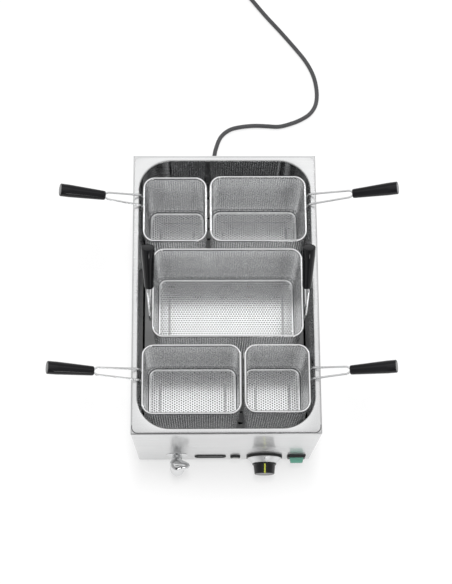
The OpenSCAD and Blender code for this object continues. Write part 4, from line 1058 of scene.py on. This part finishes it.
class COOKER_OT_baskets(bpy.types.Operator):
    """Makes the perforated walls and floors of the five baskets, and their rim wires"""

    bl_idname = "cooker.baskets"
    bl_label = "Baskets"

    def execute(self, context):
        sizes, finish = context.scene.cooker_sizes, finishes()
        wire_r = sizes.rim_d / 2
        for name in BASKETS:
            body = basket_body(name)
            low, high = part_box(name + "_rim")
            half = ((high.x - low.x) / 2 - wire_r, (high.y - low.y) / 2 - wire_r)
            middle = ((low.x + high.x) / 2, (low.y + high.y) / 2)
            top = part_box(name + "_wall")[1].z
            wall = piece(name + "_perforated_wall", self.wall(sizes, half, middle, top), finish["basket"],
                         body)
            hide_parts(name + "_wall")
            across = name == "middle"
            # The floors' lighter steel is painted light.
            floor = piece(name + "_perforated_floor", self.floor(sizes, half, middle, across),
                          finish["basket_floor"], body)
            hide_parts(name + "_floor")
            rim = hoop(*half, sizes.basket_r - wire_r, (low.z + high.z) / 2, middle, wire_r)
            made = piece(name + "_rim_wire", rim, finish["wire"], body, smooth=60)
            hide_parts(name + "_rim")
        return {"FINISHED"}

    def wall(self, sizes, half, middle, top):
        """The wall as an unrolled sheet with upright rows of holes, wrapped round the basket's plan."""
        radius = sizes.basket_r - sizes.rim_d / 2
        runs = (2 * (half[1] - radius), math.pi / 2 * radius, 2 * (half[0] - radius), math.pi / 2 * radius)
        length = 2 * sum(runs)
        height = top - FALSE_Z
        row = sizes.hole_pitch
        columns = 2 * round(length / (row * math.sqrt(3)))
        pitch = length / columns
        margin = 6 * MM
        rows = int((height - 2 * margin) / row - 0.5) + 1
        first = (height - (rows - 0.5) * row) / 2
        holes = [circle(((i + 0.5) * pitch, first + (j + 0.5 * (i % 2)) * row), sizes.hole_d / 2,
                        sizes.wall_hole_sides, 0)
                 for i in range(columns) for j in range(rows)]
        seam = [(0.0, height * k / rows) for k in range(rows + 1)]
        low_edge = [(length * k / (2 * columns), 0.0) for k in range(1, 2 * columns)]
        high_edge = [(x, height) for x, _ in reversed(low_edge)]
        outline = low_edge + [(x + length, z) for x, z in seam] + high_edge + seam[::-1]
        flat, triangles = pierced(np.array(outline), holes)
        spot, normal = self.round_plan(flat[:, 0] % length, half, radius, runs)
        place = np.column_stack((spot[:, 0] + middle[0], spot[:, 1] + middle[1], flat[:, 1] + FALSE_Z))
        away = np.column_stack((normal, np.zeros(len(normal)))) * sizes.wall_t / 2
        return thickened(place + away, place - away, triangles)

    def round_plan(self, s, half, radius, runs):
        """Points and outward normals at distances along a rounded rectangle, from its right front."""
        spot, normal = np.zeros((len(s), 2)), np.zeros((len(s), 2))
        start, curve, rounding = 0.0, runs[1], 1e-9
        for quarter, (sx, sy) in enumerate(CORNERS):
            straight = runs[0 if quarter % 2 == 0 else 2]
            centre = np.array((sx * (half[0] - radius), sy * (half[1] - radius)))
            angle = quarter * math.pi / 2
            out = np.array((math.cos(angle), math.sin(angle)))
            along = np.array((-math.sin(angle), math.cos(angle)))
            on = (s >= start) & (s < start + straight)
            spot[on] = centre + out * radius + np.outer(s[on] - start - straight, along)
            normal[on] = out
            start += straight
            on = (s >= start) & (s < start + curve + rounding)
            turn = angle + (s[on] - start) / radius
            normal[on] = np.column_stack((np.cos(turn), np.sin(turn)))
            spot[on] = centre + normal[on] * radius
            start += curve
        return spot, normal

    def floor(self, sizes, half, middle, across):
        """The perforated floor with its plain bend up to the wall; rows of holes run across or along."""
        t, bend, fit = sizes.basket_t, sizes.floor_bend, 0.15 * MM
        in_w, in_d = half[0] - t / 2 - fit, half[1] - t / 2 - fit
        radius = sizes.basket_r - sizes.rim_d / 2 - t / 2 - fit
        low = FALSE_Z + t
        rings = []

        def level(inset, z):
            rings.append(ring(in_w - inset, in_d - inset, radius - inset, z, middle))

        for a in quarter_turn(6):
            level(bend * (1 - math.sin(a)), low + bend * (1 - math.cos(a)))
        for a in reversed(quarter_turn(6)):
            level(t + (bend - t) * (1 - math.sin(a)), low + t + (bend - t) * (1 - math.cos(a)))
        flat_w, flat_d, flat_r = in_w - bend, in_d - bend, radius - bend
        outline = ring(flat_w, flat_d, flat_r, 0, middle)
        pitch, row = sizes.hole_pitch, sizes.hole_pitch * math.sqrt(3) / 2
        edge = sizes.hole_d / 2 + 1.2 * MM
        reach = int(max(flat_w, flat_d) / row) + 1
        holes = []
        for j in range(-reach, reach + 1):
            for i in range(-reach, reach + 1):
                x, y = (i + 0.5 * (j % 2)) * pitch, j * row
                if not across:
                    x, y = y, x
                over = (max(0, abs(x) - flat_w + flat_r), max(0, abs(y) - flat_d + flat_r))
                if max(abs(x) - flat_w, abs(y) - flat_d) < -edge and math.hypot(*over) < flat_r - edge:
                    holes.append(circle((middle[0] + x, middle[1] + y), sizes.hole_d / 2, sizes.hole_sides))
        flat, triangles = pierced(outline, holes)
        away = np.abs(flat - middle)
        inside, slope = np.minimum(flat_w - away[:, 0], flat_d - away[:, 1]), 2 * MM
        rise = np.clip((inside - sizes.floor_border) / slope, 0, 1) * sizes.floor_raise
        top = np.column_stack((flat, low + t + rise))
        points, faces = thickened(top, top - (0, 0, t), triangles)
        bend_points, quads = lofted(rings)
        quads = np.array(quads) + len(points)
        return (np.concatenate([points, bend_points]),
                np.concatenate([faces, quads[:, (0, 2, 1)], quads[:, (0, 3, 2)]]))


class COOKER_OT_handles(bpy.types.Operator):
    """Bends the handle wires and moulds the black grips on them"""

    bl_idname = "cooker.handles"
    bl_label = "Handles"

    def execute(self, context):
        sizes, finish = context.scene.cooker_sizes, finishes()
        span = np.array((0, FOOT_SPAN, 0))
        for name, side in SIDE_BASKETS.items():
            foot = self.foot(sizes, name, name + "_handle", side)
            aim = np.array((side * math.cos(sizes.side_rise), 0, math.sin(sizes.side_rise)))
            leg = sizes.long_leg_l if name in LARGE_BASKETS else sizes.leg_l
            way = self.way(sizes, foot + span, foot - span, foot + aim * leg, aim, np.array((0, 1, 0)))
            wire = piece(name + "_wire", swept(way, sizes.wire_d / 2), finish["wire"], basket_body(name))
            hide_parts(name + "_handle")
            grip = piece(name + "_moulded_grip", self.grip(sizes, foot + aim * (leg + GRIP_START), aim),
                         finish["grip"], basket_body(name))
            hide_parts(name + "_grip")
        aim = np.array((0, math.cos(sizes.wide_rise), math.sin(sizes.wide_rise)))
        lean = np.array((0, -math.sin(sizes.wide_rise), math.cos(sizes.wide_rise)))
        wires, grips = [], []
        for side in (LEFT, RIGHT):
            foot = self.foot(sizes, "middle", None, side)
            across = math.cos(sizes.wide_twist) * lean + math.sin(sizes.wide_twist) * np.array((side, 0, 0))
            end = foot + aim * sizes.wide_leg_l
            way = self.way(sizes, foot - span, foot + span, end, aim, across)
            wires.append(swept(way, sizes.wire_d / 2))
            grips.append(self.grip(sizes, end + aim * GRIP_START, aim))
        wire = piece("middle_wires", joined(*wires), finish["wire"], "middle_basket")
        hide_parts("middle_handles")
        grip = piece("middle_moulded_grips", joined(*grips), finish["grip"], "middle_basket")
        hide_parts("middle_grips")
        return {"FINISHED"}

    def foot(self, sizes, name, handle, side):
        """The point midway between a handle's feet, at the height where its legs bend out."""
        low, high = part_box(name + "_rim")
        x = (high.x if side == RIGHT else low.x) + side * (sizes.wire_d / 2 + SNUG)
        if handle:
            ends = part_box(handle)
            y = (ends[0].y + ends[1].y) / 2
        else:
            y = (low.y + high.y) / 2 + WIDE_FOOT_Y
        return np.array((x, y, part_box(name + "_wall")[1].z + sizes.leg_up))

    def way(self, sizes, first, last, end, aim, across):
        """The wire's line: up one foot, along a leg into the grip, round and back to the other foot."""
        drop = np.array((0, 0, sizes.leg_up + FOOT_DROP))
        near, far = end + aim * GRIP_START, end + aim * TANG_END
        leg, tang = across * sizes.leg_span / 2, across * sizes.tang_span / 2
        foot_bend, leg_bend, tang_bend = 6 * MM, 5 * MM, sizes.tang_span / 2 - SNUG
        points = [first - drop, first, end + leg, near + tang, far + tang]
        points += [far - tang, near - tang, end - leg, last, last - drop]
        bends = [foot_bend, leg_bend, leg_bend, tang_bend]
        return bent(points, bends + bends[::-1])

    def grip(self, sizes, start, aim):
        """A tapered grip with a soft collar at the wire and a shallow cap at its end."""
        neck, end, length = sizes.grip_neck_d / 2, sizes.grip_d / 2, sizes.grip_l
        profile = softened(
            [(0, 0.4 * MM), (neck - 3.2 * MM, 0), (neck - 0.6 * MM, 0), (neck, 3 * MM), (end, length * 0.8),
             (end, length), (end - 1.6 * MM, length), (end - 1.9 * MM, length - 0.5 * MM),
             (end - 2.4 * MM, length - 0.5 * MM), (end - 2.8 * MM, length - 0.1 * MM), (0, length)],
            [0.3 * MM, 1.2 * MM, 2 * MM, 20 * MM, 1.1 * MM, 0.1 * MM, 0.1 * MM, 0.1 * MM, 0.2 * MM])
        return turned(profile, start, aim, 40)


class COOKER_OT_controls(bpy.types.Operator):
    """Makes the knob with its index, and finishes the dial, switch, lamp and recess"""

    bl_idname = "cooker.controls"
    bl_label = "Controls"

    def execute(self, context):
        finish = finishes()
        self.knob(finish)
        dress(finish["rubber"], "knob_gasket")
        self.dial(finish)
        eased("rocker_housing", finish["switch"], "base", 0.7 * MM)
        eased("rocker_cap", finish["green"], "rocker", 1.0 * MM, 3)
        dress(finish["switch"], "lamp_ring")
        dress(finish["lens"], "lamp_lens")
        self.recess(finish)
        return {"FINISHED"}

    def recess(self, finish):
        """The bare plate in its raised frame, whose dark plastic is painted shade for the shadowed edge round
        the plate.
        """
        # The frame's dark plastic is painted shade for the shadow round the plate's edge.
        made = eased("recess_plate", finish["switch"], "base", 0.4 * MM)
        made.data.materials.append(finish["recess"])
        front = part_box("recess_plate")[0].y
        for face in made.data.polygons:
            if face.normal.y < -0.99 and front + 1 * MM < face.center.y < front + 2 * MM:
                face.material_index = 1

    def knob(self, finish):
        """The turned knob: a skirt, a tapered body with soft edges, and a line along its top."""
        low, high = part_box("knob")
        origin = ((low.x + high.x) / 2, high.y, (low.z + high.z) / 2)
        length = high.y - low.y
        skirt_r, skirt_h, body_r, end_r, dish_r, dish = (
            23.5 * MM, 2.5 * MM, 21.5 * MM, 19.5 * MM, 16.5 * MM, 0.4 * MM)
        profile = softened(
            [(0, 0), (skirt_r, 0), (skirt_r, skirt_h), (body_r, skirt_h + 0.6 * MM), (end_r, length),
             (dish_r, length - dish), (0, length - dish)],
            [0.4 * MM, 0.8 * MM, 0.8 * MM, 1.4 * MM, 0.6 * MM])
        made = piece("thermostat_knob", turned(profile, origin, (0, -1, 0), 64), finish["knob"], "knob")
        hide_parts("knob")
        dress(finish["index"], "knob_index")

    def dial(self, finish):
        """The turned dial cone and the small dark mark at its top."""
        low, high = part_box("dial_cone")
        middle = Vector(((low.x + high.x) / 2, high.y, (low.z + high.z) / 2))
        depth = high.y - low.y
        base_r, top_r, edge = 33 * MM, 24 * MM, 1 * MM
        profile = softened([(0, 0), (base_r, 0), (base_r, edge), (top_r, depth), (0, depth)],
                           [0.3 * MM, 0.6 * MM, 0.6 * MM], 3)
        made = piece("turned_dial", turned(profile, middle, (0, -1, 0), 72), finish["dial"], "base")
        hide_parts("dial_cone")
        mark_place, mark_aim = (0, -4.6 * MM, 29.76 * MM), (0, -9, 10)
        mark_r, sunk, proud = 1.3 * MM, -0.3 * MM, 0.25 * MM
        dot = turned([(0, sunk), (mark_r, sunk), (mark_r, 0.12 * MM), (mark_r - 0.2 * MM, 0.2 * MM),
                      (0, proud)], np.array(middle) + mark_place, mark_aim, 20)
        piece("dial_mark", dot, finish["mark"], "base")


class COOKER_OT_tap(bpy.types.Operator):
    """Makes the tap's domed lever, and finishes its body, flange and pipe"""

    bl_idname = "cooker.tap"
    bl_label = "Drain Tap"

    def execute(self, context):
        finish = finishes()
        dress(finish["chrome"], "tap_flange", "drain_pipe")
        eased("tap_body", finish["chrome"], "base", 0.8 * MM, 3)
        self.lever(Vector(TAP_AXIS), finish)
        return {"FINISHED"}

    def lever(self, axis, finish):
        """A dome that draws out to a beak on its right, on a short spindle."""
        count, levels = 64, 12
        radius, beak, turn, sharpness = 13.5 * MM, 25.5 * MM, math.radians(-8), 9
        band, dome, fullness, tip = 3.2 * MM, 9.6 * MM, 0.9, 0.004
        spindle_r, spindle_low, spindle_top = 4 * MM, -11.7 * MM, 0.2 * MM
        angles = np.arange(count) * 2 * math.pi / count
        reach = radius + (beak - radius) * np.maximum(0, np.cos(angles)) ** sharpness
        outline = np.column_stack((reach * np.cos(angles + turn), reach * np.sin(angles + turn)))
        steps = [(0.93, 0), (0.99, 0.5 * MM), (1, 1.4 * MM), (1, band)]
        steps += [(max(math.cos(a), tip) ** fullness, band + dome * math.sin(a))
                  for a in quarter_turn(levels)[1:]]
        rings = [np.column_stack((outline * share, np.full(count, z))) for share, z in steps]
        vertices, faces = lofted(rings, closed=False)
        base = (axis.x, axis.y, axis.z + 0.3 * MM)
        n = len(vertices)
        faces = faces + [tuple(range(count - 1, -1, -1)), tuple(range(n - count, n))]
        spindle = turned([(0, spindle_low), (spindle_r, spindle_low), (spindle_r, spindle_top),
                          (0, spindle_top)], base, (0, 0, 1), 24)
        form = joined((vertices + base, faces), spindle)
        made = piece("domed_lever", form, finish["chrome"], "tap_lever")
        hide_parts("tap_lever")


class COOKER_PT_panel(bpy.types.Panel):
    """Lists the cooker's sizes, colours and pieces in the sidebar"""

    bl_idname = "COOKER_PT_panel"
    bl_label = "Pasta Cooker"
    bl_space_type = "VIEW_3D"
    bl_region_type = "UI"
    bl_category = "Cooker"

    def draw(self, context):
        layout = self.layout
        for group in (context.scene.cooker_sizes, context.scene.cooker_colours):
            box = layout.box()
            for name in group.__annotations__:
                box.prop(group, name)
        for operator in OPERATORS:
            layout.operator(operator.bl_idname)


OPERATORS = (COOKER_OT_stage, COOKER_OT_cord, COOKER_OT_case, COOKER_OT_tank, COOKER_OT_baskets,
             COOKER_OT_handles, COOKER_OT_controls, COOKER_OT_tap)
CLASSES = (CookerSizes, CookerColours, *OPERATORS, COOKER_PT_panel)


def register():
    for cls in CLASSES:
        bpy.utils.register_class(cls)
    bpy.types.Scene.cooker_sizes = bpy.props.PointerProperty(type=CookerSizes)
    bpy.types.Scene.cooker_colours = bpy.props.PointerProperty(type=CookerColours)


def unregister():
    del bpy.types.Scene.cooker_colours
    del bpy.types.Scene.cooker_sizes
    for cls in reversed(CLASSES):
        bpy.utils.unregister_class(cls)


def main():
    """Registers the add-on and makes every piece in order."""
    register()
    bpy.ops.cooker.stage()
    bpy.ops.cooker.cord()
    bpy.ops.cooker.case()
    bpy.ops.cooker.tank()
    bpy.ops.cooker.baskets()
    bpy.ops.cooker.handles()
    bpy.ops.cooker.controls()
    bpy.ops.cooker.tap()


if __name__ == "__main__":
    main()
